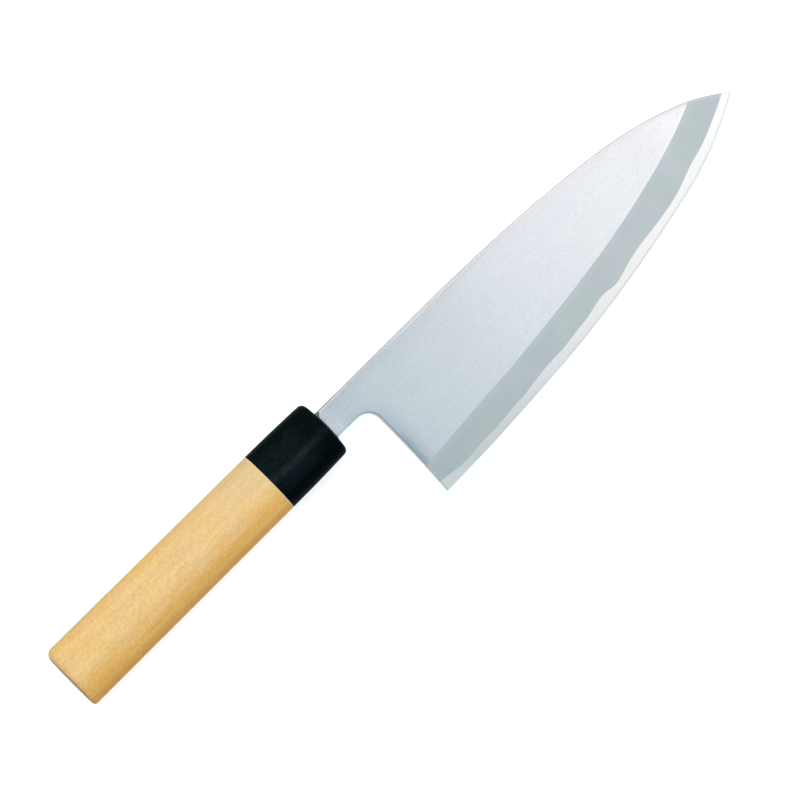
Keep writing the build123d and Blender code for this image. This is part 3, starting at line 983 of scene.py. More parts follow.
@dataclass(frozen=True)
class FerruleFinish(Finish):
    """Black ferrule with a cool cast: soft polish, faint lengthwise lines, a painted highlight along the
    crest, and sides made blacker by painted shade.
    """

    name: str = "polished_black_ferrule"
    black: tuple = (0.0036, 0.0082, 0.0100, 1)
    # Painted highlight: colour of the soft streak along the crest.
    crest_highlight: tuple = (0.0165, 0.0200, 0.0222, 1)
    # Painted shade: colour of the blacker sides.
    side: tuple = (0.0005, 0.0026, 0.0036, 1)
    rough: float = 0.42
    # Where each change starts and ends along the knife, in millimetres.
    haze_along: tuple = (-13.0, -7.0)
    crest_along: tuple = (-15.0, -6.0)
    # How far each change reaches from its middle across the knife, in millimetres.
    crest_middle: float = -0.1
    crest_reach: tuple = (2.5, 0.0)
    side_shade_middle: float = 1.7
    side_shade_reach: tuple = (6.8, 10.2)

    def dress(self, tree: Tree, shader: Any, effects: Effects) -> None:
        """Puts in the finish's nodes.

        Args:
            tree: the material's tree.
            shader: its Principled BSDF.
            effects: the shared shader groups.
        """
        clouds = effects.use(tree, effects.clouds, Size=120.0, Fine=650.0)
        lines = effects.use(tree, effects.lines, Along=160.0, Across=2600.0, Turn=0.0)
        along, across = tree.knife_axis(Axis.ALONG), tree.knife_axis(Axis.ACROSS)
        haze = tree.times(tree.swing(clouds["Cloud"], 0.75, 1.25), tree.swing(clouds["Speckle"], 0.7, 1.3))
        forward = tree.spread(along, *self.haze_along, 1.0, 0.55)
        color = tree.tint(self.black, tree.times(haze, forward))
        from_crest = tree.math("ABSOLUTE", tree.plus(across, -self.crest_middle))
        # Painted highlight: a soft lighter streak along the crest, uneven in clouds.
        crest = tree.times(tree.spread(from_crest, *self.crest_reach),
                           tree.spread(clouds["Cloud"], 0.38, 0.58, 0.35, 1.0),
                           tree.spread(along, *self.crest_along, 1.0, 0.5))
        color = tree.blend(crest, color, self.crest_highlight)
        # Painted shade: the sides turn blacker away from the middle.
        from_middle = tree.math("ABSOLUTE", tree.math("SUBTRACT", across, self.side_shade_middle))
        tree.feed(shader, {
            "Base Color": tree.blend(tree.spread(from_middle, *self.side_shade_reach), color, self.side),
            "Specular IOR Level": 0.012,
            "Roughness": tree.centred(lines["Shade"], 0.16, self.rough),
            "Normal": bumped(tree, lines["Height"], 0.08, 0.00004),
        })


@dataclass(frozen=True)
class ResinFinish(Finish):
    """Dark resin round the neck, a little uneven where it set."""

    name: str = "set_resin"
    dark: tuple = (0.07, 0.10, 0.10, 1)
    pale: tuple = (0.13, 0.165, 0.16, 1)
    rough: float = 0.4

    def dress(self, tree: Tree, shader: Any, effects: Effects) -> None:
        """Puts in the finish's nodes.

        Args:
            tree: the material's tree.
            shader: its Principled BSDF.
            effects: the shared shader groups.
        """
        clouds = effects.use(tree, effects.clouds, Size=420.0, Fine=2600.0)
        tree.feed(shader, {
            "Base Color": tree.blend(tree.spread(clouds["Cloud"], 0.35, 0.7), self.dark, self.pale),
            "Roughness": tree.centred(clouds["Speckle"], 0.2, self.rough),
            "Normal": bumped(tree, clouds["Speckle"], 0.2, 0.0001),
        })


@dataclass(frozen=True)
class RoomFinish(Finish):
    """Matt white of the room. It shows white to the camera, to gloss and through glass, and its own glow
    is weaker where the lamps reach, so it still takes the knife's shadow."""

    name: str = "white_room"
    white: tuple = (0.72, 0.73, 0.74, 1)
    grain_scale: float = 400.0
    near_glow: float = 0.67
    far_glow: float = 1.0
    lit_reach: tuple = (0.5, 1.8)

    def dress(self, tree: Tree, shader: Any, effects: Effects) -> None:
        """Puts in the finish's nodes.

        Args:
            tree: the material's tree.
            shader: its Principled BSDF.
            effects: the shared shader groups, which it doesn't use.
        """
        place = tree.add("TexCoord").outputs["Object"]
        tone = tree.spread(tree.noise(place, self.grain_scale), 0.0, 1.0, 0.985, 1.0)
        away = tree.feed(tree.add("VectorMath", operation="LENGTH"), {0: place}).outputs["Value"]
        glow = tree.spread(away, *self.lit_reach, self.near_glow, self.far_glow)
        rays = tree.add("LightPath").outputs
        seen = tree.plus(rays["Is Camera Ray"], rays["Is Glossy Ray"])
        seen = tree.math("ADD", seen, rays["Is Transmission Ray"], clamp=True)
        tree.feed(shader, {
            "Base Color": tree.tint(self.white, tone),
            "Roughness": 0.9,
            "Emission Color": tree.times(seen, glow),
            "Emission Strength": 1.0,
        })


# Blade


class Station(Enum):
    """The columns of the blade's stations: place from heel to tip, and three shares there."""

    PLACE = 0
    SPINE_DROP = 1
    EDGE_DEPTH = 2
    BEVEL_WIDTH = 3


@dataclass(frozen=True)
class BladeForm:
    """The blade's sizes in millimetres and degrees, and the curves and heights that follow from them."""

    tip_reach: float = 193.0
    heel_reach: float = 15.2
    chin_reach: float = 16.0
    spine_rise: float = 5.85
    heel_depth: float = 54.6
    tip_depth: float = 23.8
    neck_height: float = 11.9
    choil_radius: float = 6.2
    neck_thickness: float = 6.5
    heel_ridge_thickness: float = 4.3
    point_thickness: float = 2.6
    bevel_width: float = 14.5
    micro_width: float = 0.8
    micro_angle: float = 28.0
    hollow_wheel_radius: float = 650.0
    hollow_run_out: float = 0.5
    rim_width: float = 3.0
    steel_thickness: float = 1.1
    steel_start: float = 12.0
    overrun: float = 5.0
    hair: float = 1e-6
    point_margin: float = 0.05
    ridge_end_share: float = 0.95
    spine_curve_start_share: float = 0.25
    # Place from heel to tip, drop of the spine, depth of the edge, width of the bevel.
    station_shares: tuple = (
        (0.0, 0.0, 1.0, 0.85),
        (0.125, 0.0, 0.982, 0.95),
        (0.25, 0.0, 0.942, 0.97),
        (0.375, 0.017, 0.89, 1.01),
        (0.5, 0.055, 0.809, 1.03),
        (0.625, 0.131, 0.692, 1.027),
        (0.75, 0.254, 0.546, 1.062),
        (0.875, 0.497, 0.346, 1.118),
        (0.95, 0.75, 0.154, 1.126),
        (1.0, 1.0, 0.0, 1.13),
    )
    # Place from heel to tip, and how far the hollow has run out.
    hollow_shares: tuple = (
        (-0.02, 1.7), (0.045, 0.5), (0.14, 0.05), (0.25, 0.0), (0.375, 0.0),
        (0.5, 0.0), (0.625, 0.0), (0.75, 0.0), (0.875, 0.02), (0.96, 0.3),
    )
    # Place from heel to tip, and height of the weld above the back.
    weld_root_share: float = 1.46
    weld_shares: tuple = (
        (0.012, 1.43), (0.045, 1.13), (0.083, 0.99), (0.125, 1.05), (0.167, 0.96), (0.21, 1.01),
        (0.25, 0.99), (0.29, 1.06), (0.33, 1.1), (0.375, 1.0), (0.42, 1.01), (0.46, 1.01),
        (0.5, 1.09), (0.52, 1.04), (0.54, 0.85), (0.58, 0.87), (0.625, 0.95), (0.665, 0.89),
        (0.705, 0.8), (0.75, 0.75), (0.79, 0.79), (0.83, 0.88), (0.87, 0.83), (0.91, 0.81),
        (0.95, 0.79), (1.0, 0.77), (1.05, 0.76),
    )

    @property
    def back_z(self) -> float:
        """Height of the flat back in the knife's axes."""
        return -self.neck_thickness / 2

    @property
    def underside(self) -> float:
        """Place of the neck's underside."""
        return self.spine_rise - self.neck_height

    def share(self, x: Numbers) -> Numbers:
        """How far from heel to tip a place lies."""
        return (np.asarray(x, float) - self.heel_reach) / (self.tip_reach - self.heel_reach)

    def along(self, station: Station, x: Numbers) -> Numbers:
        """Smooth curve through one column of the stations, run on straight past both ends.

        Args:
            station: the column.
            x: places along the knife.

        Returns:
            The column's share at each place.
        """
        rows = np.array(self.station_shares)
        run = 2 * self.overrun / (self.tip_reach - self.heel_reach)
        places, values = rows[:, Station.PLACE.value], rows[:, station.value]
        start = values[0] - run * (values[1] - values[0]) / (places[1] - places[0])
        end = values[-1] + run * (values[-1] - values[-2]) / (places[-1] - places[-2])
        places = np.concatenate([[-run], places, [1 + run]])
        return smooth_through(places, np.concatenate([[start], values, [end]]), self.share(x))

    def spine(self, x: Numbers) -> Numbers:
        """Line of the spine: straight, then a smooth curve down to the tip.

        Args:
            x: places along the knife.

        Returns:
            The line's place across the knife.
        """
        rows = np.array(self.station_shares)
        rows = rows[rows[:, Station.PLACE.value] >= self.spine_curve_start_share]
        places, drops = rows[:, Station.PLACE.value], rows[:, Station.SPINE_DROP.value]
        end_slope = (drops[-1] - drops[-2]) / (places[-1] - places[-2])
        drop = smooth_through(places, drops, np.maximum(self.share(x), places[0]), 0.0, end_slope)
        return self.spine_rise - self.tip_depth * drop

    def edge(self, x: Numbers) -> Numbers:
        """Line of the cutting edge: a smooth curve through the stations' depths."""
        depth = (self.heel_depth - self.tip_depth) * self.along(Station.EDGE_DEPTH, x)
        return self.spine_rise - self.tip_depth - depth

    def ridge(self, x: Numbers) -> Numbers:
        """Line between flat and bevel: the edge plus the bevel's width there."""
        return self.edge(x) + self.bevel_width * self.along(Station.BEVEL_WIDTH, x)

    def flat(self, x: Numbers, y: Numbers) -> Numbers:
        """Height of the upper flat above the back: a plane through the neck and the ridge's two ends.

        Args:
            x: places along the knife.
            y: places across it.

        Returns:
            The height at each place.
        """
        end_x = self.heel_reach + self.ridge_end_share * (self.tip_reach - self.heel_reach)
        at = np.array([
            [0.0, self.spine_rise, self.neck_thickness],
            [self.heel_reach, float(self.ridge(self.heel_reach)), self.heel_ridge_thickness],
            [end_x, float(self.ridge(end_x)), self.point_thickness],
        ])
        slopes = np.linalg.solve(np.column_stack([at[:, :2], np.ones(3)]), at[:, 2])
        return slopes[0] * x + slopes[1] * y + slopes[2]

    def micro_step(self) -> float:
        """Height of the micro-bevel's upper line above the back."""
        return self.micro_width * math.tan(math.radians(self.micro_angle))

    def bevel_rise(self, x: Numbers) -> Numbers:
        """Slope of the bevel, from the micro-bevel's upper line to the ridge."""
        ridge, shoulder = self.ridge(x), self.edge(x) + self.micro_width
        return (self.flat(x, ridge) - self.micro_step()) / (ridge - shoulder)

    def top(self, x: Numbers, y: Numbers) -> Numbers:
        """Height of the upper side above the back: the lowest of flat, bevel and micro-bevel.

        Args:
            x: places along the knife.
            y: places across it.

        Returns:
            The height at each place.
        """
        past = y - self.edge(x)
        micro = past * self.micro_step() / self.micro_width
        bevel = self.micro_step() + self.bevel_rise(x) * (past - self.micro_width)
        return np.minimum(self.flat(x, y), np.where(past < self.micro_width, micro, bevel))

    def weld(self, x: Numbers) -> Numbers:
        """Height of the weld above the back: a wandering line along the blade."""
        rows = np.array([(self.share(self.steel_start), self.weld_root_share), *self.weld_shares])
        return self.steel_thickness * smooth_through(rows[:, 0], rows[:, 1], self.share(x))

    def above_ridge(self, x: Numbers, y: Numbers) -> Numbers:
        """How far a place lies from the ridge, towards the spine."""
        return y - self.ridge(x)

    def above_weld(self, x: Numbers, y: Numbers) -> Numbers:
        """How far the upper side stands above the weld, less a hair."""
        return self.top(x, y) - self.weld(x) - self.hair

    def above_shoulder(self, x: Numbers, y: Numbers) -> Numbers:
        """How far a place lies from the micro-bevel's upper line, towards the spine."""
        return y - self.edge(x) - self.micro_width

    def weld_line(self, x: Numbers) -> Numbers:
        """Where the weld comes out on the bevel."""
        return self.edge(x) + self.micro_width + (self.weld(x) - self.micro_step()) / self.bevel_rise(x)

    def sag(self, half_chord: Numbers) -> Numbers:
        """Depth of the grinding wheel's arc over half its chord."""
        radius = self.hollow_wheel_radius
        return radius - np.sqrt(radius ** 2 - half_chord ** 2)

    def hollow(self, x: Numbers, y: Numbers) -> Numbers:
        """Depth of the back hollow: the wheel's arc between the rims, less its run-out, never below 0.

        Args:
            x: places along the knife.
            y: places across it.

        Returns:
            The depth at each place.
        """
        rows = np.array(self.hollow_shares)
        high, low = self.spine(x) - self.rim_width, self.edge(x) + self.rim_width
        half = np.maximum((high - low) / 2, 0)
        run_out = self.hollow_run_out * smooth_through(rows[:, 0], rows[:, 1], self.share(x))
        depth = self.sag(half) - run_out - self.sag(np.abs(y - (high + low) / 2))
        inside = (self.share(x) > rows[0, 0]) & (self.share(x) < rows[-1, 0])
        return np.where(inside, np.maximum(depth, 0), 0)

    def chin(self, y: Numbers) -> Numbers:
        """Line of the chin: a very flat arc from the choil down to the heel.

        Args:
            y: places across the knife.

        Returns:
            The line's place along the knife.
        """
        start = self.underside - self.choil_radius
        fall = start - (self.spine_rise - self.heel_depth)
        back = self.chin_reach - self.heel_reach
        radius = (fall ** 2 + back ** 2) / (2 * back)
        return self.chin_reach - radius + np.sqrt(radius ** 2 - (start - y) ** 2)


@dataclass(frozen=True)
class Rulings:
    """Straight lines in plan, each from a point on the spine to a point on the lower outline."""

    start: Numbers
    end: Numbers
    at_wall: Numbers
    samples: int = 900

    @property
    def length(self) -> Numbers:
        """Length of each line."""
        return np.linalg.norm(self.end - self.start, axis=1)

    @property
    def turn(self) -> Numbers:
        """Direction of each line."""
        return (self.end - self.start) / np.maximum(self.length, TINY)[:, None]

    def at(self, run: Numbers) -> tuple:
        """Plan places at a distance along each line, as two arrays."""
        spot = self.start[:, None, :] + run[:, :, None] * self.turn[:, None, :]
        return spot[..., 0], spot[..., 1]

    def crossing(self, height: Any) -> Numbers:
        """Distance at which a function of the plan place goes from positive to not positive."""
        run = np.linspace(0, 1, self.samples)[None, :] * self.length[:, None]
        return first_crossing(height(*self.at(run)), run)


@dataclass(frozen=True)
class Blade:
    """The forged blade: soft-iron body with its tang, and the hard-steel layer welded to its back. Sizes
    are in millimetres, and the angle of sharp edges in degrees."""

    form: BladeForm = BladeForm()
    neck_seat: float = 4.0
    tang_length: float = 98.0
    tang_size: tuple = (11.0, 5.4)
    tang_end_size: tuple = (5.5, 2.6)
    corner_round: float = 0.5
    chin_round: float = 0.9
    fan_end: float = 30.0
    heel_fan: float = 50.0
    ridge_support: float = 0.1
    weld_search_start: float = 150.0
    wall_height: float = 0.6
    sunk_margin: float = 0.02
    chin_shade_depth: float = 5.0
    # The most that the rounds at spine and chin take of the iron's thickness and of a line's length.
    spine_round_shares: tuple = (0.7, 0.3)
    chin_round_shares: tuple = (0.6, 0.4)
    support_share: float = 0.2
    rim_share: float = 0.25
    least_slant: float = 0.3
    # Distance between lines, and points in each stretch of a line's loop or of the outline.
    step: float = 0.55
    search_steps: int = 4000
    choil_steps: int = 16
    round_steps: int = 6
    wall_steps: int = 5
    flat_steps: int = 40
    bevel_steps: int = 20
    back_steps: int = 16
    hidden_steps: int = 14
    band_steps: int = 16
    micro_steps: int = 4
    rim_steps: int = 7
    hollow_steps: int = 44
    neck_steps: int = 18
    sharp_above: float = 40.0

    def outline(self, first_x: float, lower: Any, last_x: float) -> Rulings:
        """Lines from the spine to the choil, the chin and then a lower line up to the tip.

        The lower outline is walked at even steps. The spine ends start level, fan out over the choil,
        and then keep pace up to the tip.

        Args:
            first_x: where the walk starts, on the choil's arc.
            lower: function of x that gives the lower line.
            last_x: where the lower line meets the spine.

        Returns:
            The lines, with whether each ends on the chin's wall.
        """
        form = self.form
        centre_x, centre_y = form.chin_reach - form.choil_radius, form.underside - form.choil_radius
        first = math.asin(min((first_x - centre_x) / form.choil_radius, 1.0))
        angle = np.linspace(first, math.pi / 2, self.choil_steps)
        choil = np.column_stack([centre_x + form.choil_radius * np.sin(angle),
                                 centre_y + form.choil_radius * np.cos(angle)])
        fall = np.linspace(centre_y, form.spine_rise - form.heel_depth, self.search_steps)
        past = fall - lower(form.chin(fall))
        stop = int(np.argmax(past <= 0)) if (past <= 0).any() else len(fall) - 1
        fall = np.linspace(centre_y, fall[stop], int((centre_y - fall[stop]) / self.step))
        chin = np.column_stack([form.chin(fall), fall])
        x = np.linspace(chin[-1, 0], last_x, int((last_x - chin[-1, 0]) / self.step))
        low = np.column_stack([x, lower(x)])
        low[-1, 1] = form.spine(last_x)
        spine_x = np.concatenate([
            np.linspace(first_x, self.fan_end, len(choil)),
            np.linspace(self.fan_end, self.heel_fan, len(chin))[1:],
            np.linspace(self.heel_fan, last_x, len(low))[1:],
        ])
        end = np.concatenate([choil, chin[1:], low[1:]])
        at_wall = np.arange(len(end)) < len(choil) + len(chin) - 1
        return Rulings(np.column_stack([spine_x, form.spine(spine_x)]), end, at_wall)

    def slant(self, lines: Rulings) -> Numbers:
        """How squarely each line meets the lower outline: the sine of the angle between them.

        Args:
            lines: the plan lines.

        Returns:
            The sine for each line, never very small.
        """
        tangent = np.gradient(lines.end, axis=0)
        tangent = tangent / np.maximum(np.linalg.norm(tangent, axis=1), TINY)[:, None]
        turn = lines.turn
        sine = np.abs(turn[:, 0] * tangent[:, 1] - turn[:, 1] * tangent[:, 0])
        return np.clip(sine, self.least_slant, 1)

    def iron_loops(self, lines: Rulings, slant: Numbers, on_weld: float) -> Numbers:
        """Closed loops of the iron: up the spine wall, over flat and bevel, down the chin, back below.

        Args:
            lines: the plan lines.
            slant: how squarely each line meets the lower outline.
            on_weld: 1 where the underside lies on the weld, 0 where it is the flat back.

        Returns:
            (lines, points, 3) loops in knife millimetres.
        """
        form, length = self.form, lines.length
        whole = length[:, None]
        room_start = np.maximum(form.top(*lines.start.T) - form.weld(lines.start[:, 0]), 0)
        room_end = np.maximum(form.top(*lines.end.T) - form.weld(lines.end[:, 0]), 0)
        of_room, of_length = self.spine_round_shares
        up = np.minimum(np.minimum(self.corner_round, of_room * room_start), of_length * length)
        of_room, of_length = self.chin_round_shares
        down = np.where(lines.at_wall, np.minimum(self.chin_round, of_room * room_end), 0)
        down_run = np.minimum(down / slant, of_length * length)
        ridge = np.clip(lines.crossing(form.above_ridge), up, length - down_run)
        near = np.minimum(self.ridge_support, self.support_share * (ridge - up))
        over = np.minimum(self.ridge_support, self.support_share * (length - down_run - ridge))
        flat = even_steps(up, ridge - near, self.flat_steps)
        bevel = even_steps(ridge + over, length - down_run, self.bevel_steps)
        top_run = np.concatenate([flat[:, 1:], ridge[:, None], bevel[:, :-1]], axis=1)
        phi = np.linspace(0, math.pi / 2, self.round_steps)[None, :]
        rise = form.top(*lines.at(up[:, None])) - up[:, None] * (1 - np.sin(phi))
        fall = form.top(*lines.at((length - down_run)[:, None])) - down[:, None] * (1 - np.cos(phi))
        wall_up, wall_down = form.weld(lines.start[:, :1]) * on_weld, form.weld(lines.end[:, :1]) * on_weld
        share = np.linspace(0, 1, self.wall_steps)[None, :-1]
        on_wall = np.zeros((len(length), share.shape[1]))
        back = even_steps(length, np.zeros_like(length), self.back_steps)[:, 1:-1]
        # Each stretch of the loop: distance along the line, and height above the back.
        stretches = [
            (on_wall, wall_up + share * (rise[:, :1] - wall_up)),
            (up[:, None] * (1 - np.cos(phi)), rise),
            (top_run, form.top(*lines.at(top_run))),
            (whole - down_run[:, None] * (1 - np.sin(phi)), fall),
            (on_wall + whole, fall[:, -1:] + (share + share[0, 1]) * (wall_down - fall[:, -1:])),
            (back, form.weld(lines.at(back)[0]) * on_weld),
        ]
        run, height = (np.concatenate(parts, axis=1) for parts in zip(*stretches))
        return np.stack([*lines.at(run), form.back_z + height], axis=-1)

    def tang_loops(self, neck: Numbers) -> Numbers:
        """Loops of the tang: the neck's loop squeezed to the tang's size, at its root and at its end.

        Args:
            neck: (points, 3) the neck's first loop.

        Returns:
            (2, points, 3) the two loops.
        """
        form = self.form
        middle = form.spine_rise - form.neck_height / 2
        low, high = neck.min(axis=0), neck.max(axis=0)
        share = (neck - low) / np.maximum(high - low, TINY) - 0.5
        loops = []
        for x, (tall, thick) in ((-self.tang_length, self.tang_end_size), (-self.neck_seat, self.tang_size)):
            loop = np.column_stack([np.full(len(neck), x), middle + share[:, 1] * tall, share[:, 2] * thick])
            loops.append(loop)
        return np.stack(loops)

    def iron(self) -> tuple:
        """The soft-iron body: loops carried from the tang's end to where the weld runs out at the spine.

        Returns:
            Points in knife millimetres and faces.
        """
        form = self.form
        x = np.linspace(self.weld_search_start, form.tip_reach - form.point_margin, self.search_steps)
        gap = form.spine(x) - form.weld_line(x)
        last_x = float(x[np.argmax(gap <= 0)]) if (gap <= 0).any() else float(x[-1])
        lines = self.outline(form.steel_start, form.weld_line, last_x)
        arc_start = form.chin_reach - form.choil_radius
        neck_x = np.concatenate([
            np.linspace(-self.neck_seat, arc_start, self.neck_steps),
            np.linspace(arc_start, form.steel_start, self.choil_steps // 2)[1:],
        ])
        drop = np.sqrt(form.choil_radius ** 2 - np.maximum(neck_x - arc_start, 0) ** 2)
        arc = form.underside - form.choil_radius + drop
        neck = Rulings(np.column_stack([neck_x, form.spine(neck_x)]), np.column_stack([neck_x, arc]),
                       np.ones(len(neck_x), bool))
        neck_slant = drop / form.choil_radius
        blade_slant = np.concatenate([neck_slant[-1:], self.slant(lines)[1:]])
        neck_loops = self.iron_loops(neck, neck_slant, 0.0)
        blade_loops = self.iron_loops(lines, blade_slant, 1.0)
        tang = self.tang_loops(neck_loops[0])
        return closed_shell(np.concatenate([tang, neck_loops, blade_loops]))

    def steel(self) -> tuple:
        """The hard-steel layer: weld side, bright band and micro-bevel above, hollow back below.

        Returns:
            Points in knife millimetres and faces.
        """
        form = self.form
        lines = self.outline(form.steel_start, form.edge, form.tip_reach)
        length = lines.length
        nothing = np.zeros_like(length)
        weld = lines.crossing(form.above_weld)
        shoulder = np.maximum(lines.crossing(form.above_shoulder), weld)
        over = np.concatenate([
            even_steps(nothing, weld, self.hidden_steps)[:, :-1],
            even_steps(weld, shoulder, self.band_steps)[:, :-1],
            even_steps(shoulder, length, self.micro_steps),
        ], axis=1)
        over_x, over_y = lines.at(over)
        over_z = np.minimum(form.weld(over_x), form.top(over_x, over_y))
        over_z[:, -1] = np.where(lines.at_wall, over_z[:, -1], 0)
        rim = np.minimum(form.rim_width / self.slant(lines), self.rim_share * length)
        under = np.concatenate([
            even_steps(length, length - rim, self.rim_steps)[:, :-1],
            even_steps(length - rim, rim, self.hollow_steps)[:, :-1],
            even_steps(rim, nothing, self.rim_steps),
        ], axis=1)
        under_z = form.hollow(*lines.at(under))
        x, y = lines.at(np.concatenate([over, under], axis=1))
        height = np.concatenate([over_z, under_z], axis=1)
        return closed_shell(np.stack([x, y, form.back_z + height], axis=-1))

    def values(self, points: Numbers) -> dict:
        """Works out what the finishes read: distances from ridge, edge, weld, chin and spine, and more.

        Args:
            points: (n, 3) points in knife millimetres.

        Returns:
            Name to a value for each point.
        """
        form = self.form
        x, y, z = points[:, 0], points[:, 1], points[:, 2] - form.back_z
        inside = np.clip(x, form.heel_reach, form.tip_reach)
        arc_x, arc_y = form.chin_reach - form.choil_radius, form.underside - form.choil_radius
        to_chin = x - form.chin(np.clip(y, form.spine_rise - form.heel_depth, arc_y))
        to_arc = np.hypot(np.maximum(x - arc_x, 0), y - arc_y) - form.choil_radius
        from_chin = np.where(y < arc_y, to_chin, to_arc)
        upper = form.top(np.maximum(x, 0), y)
        return {
            "from_ridge": y - form.ridge(inside),
            "from_edge": y - form.edge(inside),
            "from_weld": form.weld_line(inside) - y,
            "from_chin": np.abs(from_chin),
            "down_chin": np.clip((arc_y - y) / self.chin_shade_depth, 0, 1),
            "from_spine": form.spine(x) - y,
            "to_tip": form.share(x),
            "top_side": (z > upper - self.wall_height).astype(float),
            "sunk": form.hollow(x, y),
        }

    def build(self, effects: Effects) -> list:
        """Makes and dresses the two pieces.

        Args:
            effects: the shared shader groups.

        Returns:
            The two objects.
        """
        iron, steel = self.iron(), self.steel()
        values = self.values(steel[0])
        above = steel[0][:, 2] - self.form.back_z
        values["top_side"] = (above > values["sunk"] + self.sunk_margin).astype(float)
        return [
            make_object(Piece.BLADE_BODY, iron, IronFinish().material(effects),
                        self.sharp_above, self.values(iron[0])),
            make_object(Piece.HARD_STEEL, steel, SteelFinish().material(effects),
                        self.sharp_above, values),
        ]


# Handle, ferrule and seal


@dataclass(frozen=True)
class GripForm:
    """The chestnut section of handle and ferrule, and sizes along them, in millimetres and degrees."""

    around: int = 224
    handle_length: float = 131.5
    ferrule_length: float = 29.1
    butt_size: tuple = (26.2, 21.0)
    seam_size: tuple = (25.5, 20.3)
    waist_setback: float = 13.0
    waist_size: tuple = (25.1, 19.9)
    front_size: tuple = (24.2, 19.2)
    ridge_offset_share: float = 0.14
    spine_flank_share: float = 0.6
    edge_flank_share: float = 0.52
    quarter_round_share: float = 0.5523
    curve_steps: int = 120
    spine_flank_slope: float = 9.0
    edge_flank_slope: float = 15.0
    ridge_round: float = 1.6
    butt_round: float = 2.3
    butt_skew: float = 1.0
    front_round: float = 2.2
    front_skew: float = 0.1
    front_crown_radius: float = 120.0
    ferrule_wall: float = 3.0
    front_wall: float = 6.5
    tenon_fit: float = 0.1
    neck_middle: float = -0.1
    neck_seat: float = 4.2
    neck_slot: tuple = (12.3, 6.9)
    tang_slot: tuple = (11.4, 5.8)
    tang_hole: tuple = (11.3, 5.7)
    tang_hole_end: tuple = (5.8, 2.9)
    hole_depth: float = 101.0
    seal_block: tuple = (13.3, 7.9)
    seal_depth: float = 3.0
    seal_proud: float = 0.4

    def section(self, size: tuple) -> Numbers:
        """Chestnut loop: two flanks that meet in a soft ridge above, and a half-round below.

        Args:
            size: height across the knife and thickness.

        Returns:
            (around, 2) points, from the spine end over the ridge, as places across and up.
        """
        half_height, half_thickness = size[0] / 2, size[1] / 2
        ridge = np.array([-self.ridge_offset_share * half_height, half_thickness])
        spine_angle, edge_angle = math.radians(self.spine_flank_slope), math.radians(self.edge_flank_slope)
        spine_slope = np.array([math.cos(spine_angle), -math.sin(spine_angle)])
        edge_slope = np.array([-math.cos(edge_angle), -math.sin(edge_angle)])
        spine_shoulder = ridge + spine_slope * self.ridge_round
        edge_shoulder = ridge + edge_slope * self.ridge_round
        up, across = np.array([0, half_thickness]), np.array([half_height, 0])
        quarter = self.quarter_round_share
        curves = [
            [across, across + up * self.spine_flank_share,
             spine_shoulder + spine_slope * half_height * self.spine_flank_share, spine_shoulder],
            [spine_shoulder, ridge, edge_shoulder],
            [edge_shoulder, edge_shoulder + edge_slope * half_height * self.edge_flank_share,
             -across + up * self.edge_flank_share, -across],
            [-across, -across - up * quarter, -up - across * quarter, -up],
            [-up, -up + across * quarter, across - up * quarter, across],
        ]
        stretches = [curve_of(corners, self.curve_steps)[:-1] for corners in curves]
        return along_line(np.concatenate(stretches + [across[None, :]]), self.around + 1)[:-1]

    def inset(self, loop: Numbers, depth: Numbers) -> Numbers:
        """Moves a loop inwards along its own normals, which are square to the line between neighbours.

        Args:
            loop: (around, 2) points.
            depth: how far, as one number or one for each point.

        Returns:
            (around, 2) points.
        """
        tangent = np.roll(loop, -1, axis=0) - np.roll(loop, 1, axis=0)
        tangent = tangent / np.linalg.norm(tangent, axis=1)[:, None]
        inward = np.column_stack([-tangent[:, 1], tangent[:, 0]])
        inward = inward * np.sign((inward * -loop).sum(axis=1).mean())
        return loop + inward * np.broadcast_to(depth, len(loop))[:, None]

    def rectangle(self, size: tuple) -> Numbers:
        """Rectangular loop round the neck's middle, its corners kept, walked as the section is.

        Args:
            size: height across the knife and thickness.

        Returns:
            (around, 2) points.
        """
        half_height, half_thickness = size[0] / 2, size[1] / 2
        eighth = self.around // 8
        corners = [(half_height, 0), (half_height, half_thickness), (-half_height, half_thickness),
                   (-half_height, 0), (-half_height, -half_thickness), (half_height, -half_thickness),
                   (half_height, 0)]
        counts = [eighth, 2 * eighth, eighth, eighth, 2 * eighth, self.around - 7 * eighth]
        parts = [np.linspace(a, b, count, endpoint=False)
                 for a, b, count in zip(corners, corners[1:], counts)]
        return np.concatenate(parts) + np.array([self.neck_middle, 0])

    def standing(self, loop: Numbers, x: Any) -> Numbers:
        """A loop stood across the knife at a place, or at a place for each point."""
        return np.column_stack([np.broadcast_to(x, len(loop)).astype(float), loop])

    def between(self, first: Numbers, last: Numbers, count: int) -> list:
        """Loops that go evenly from one loop to another, leaving out the first."""
        return [first + (last - first) * share for share in np.linspace(0, 1, count + 1)[1:]]

    def skewed(self, loop: Numbers, size: float, skew: float) -> Numbers:
        """A rounding's size for each point: more on the spine side and less on the edge side."""
        return size + skew * loop[:, 0] / np.abs(loop[:, 0]).max()

    def grip_size(self, x: float) -> tuple:
        """Height and thickness of the handle at a place, straight from butt to seam."""
        share = (x + self.handle_length) / (self.handle_length - self.ferrule_length)
        return tuple(butt + (seam - butt) * share for butt, seam in zip(self.butt_size, self.seam_size))

    def ferrule_size(self, x: float) -> tuple:
        """Height and thickness of the ferrule at a place: a parabola through seam, waist and front.

        Args:
            x: place along the knife.

        Returns:
            Height and thickness.
        """
        places = (-self.ferrule_length, -self.waist_setback, 0.0)
        sizes = np.array([self.seam_size, self.waist_size, self.front_size])
        return tuple(float(np.polyval(np.polyfit(places, sizes[:, side], 2), x)) for side in range(2))

    def dome(self, loop: Numbers) -> Numbers:
        """Place of the ferrule's slightly crowned front over each point."""
        radius = self.front_crown_radius
        return np.sqrt(radius ** 2 - (loop ** 2).sum(axis=1)) - radius


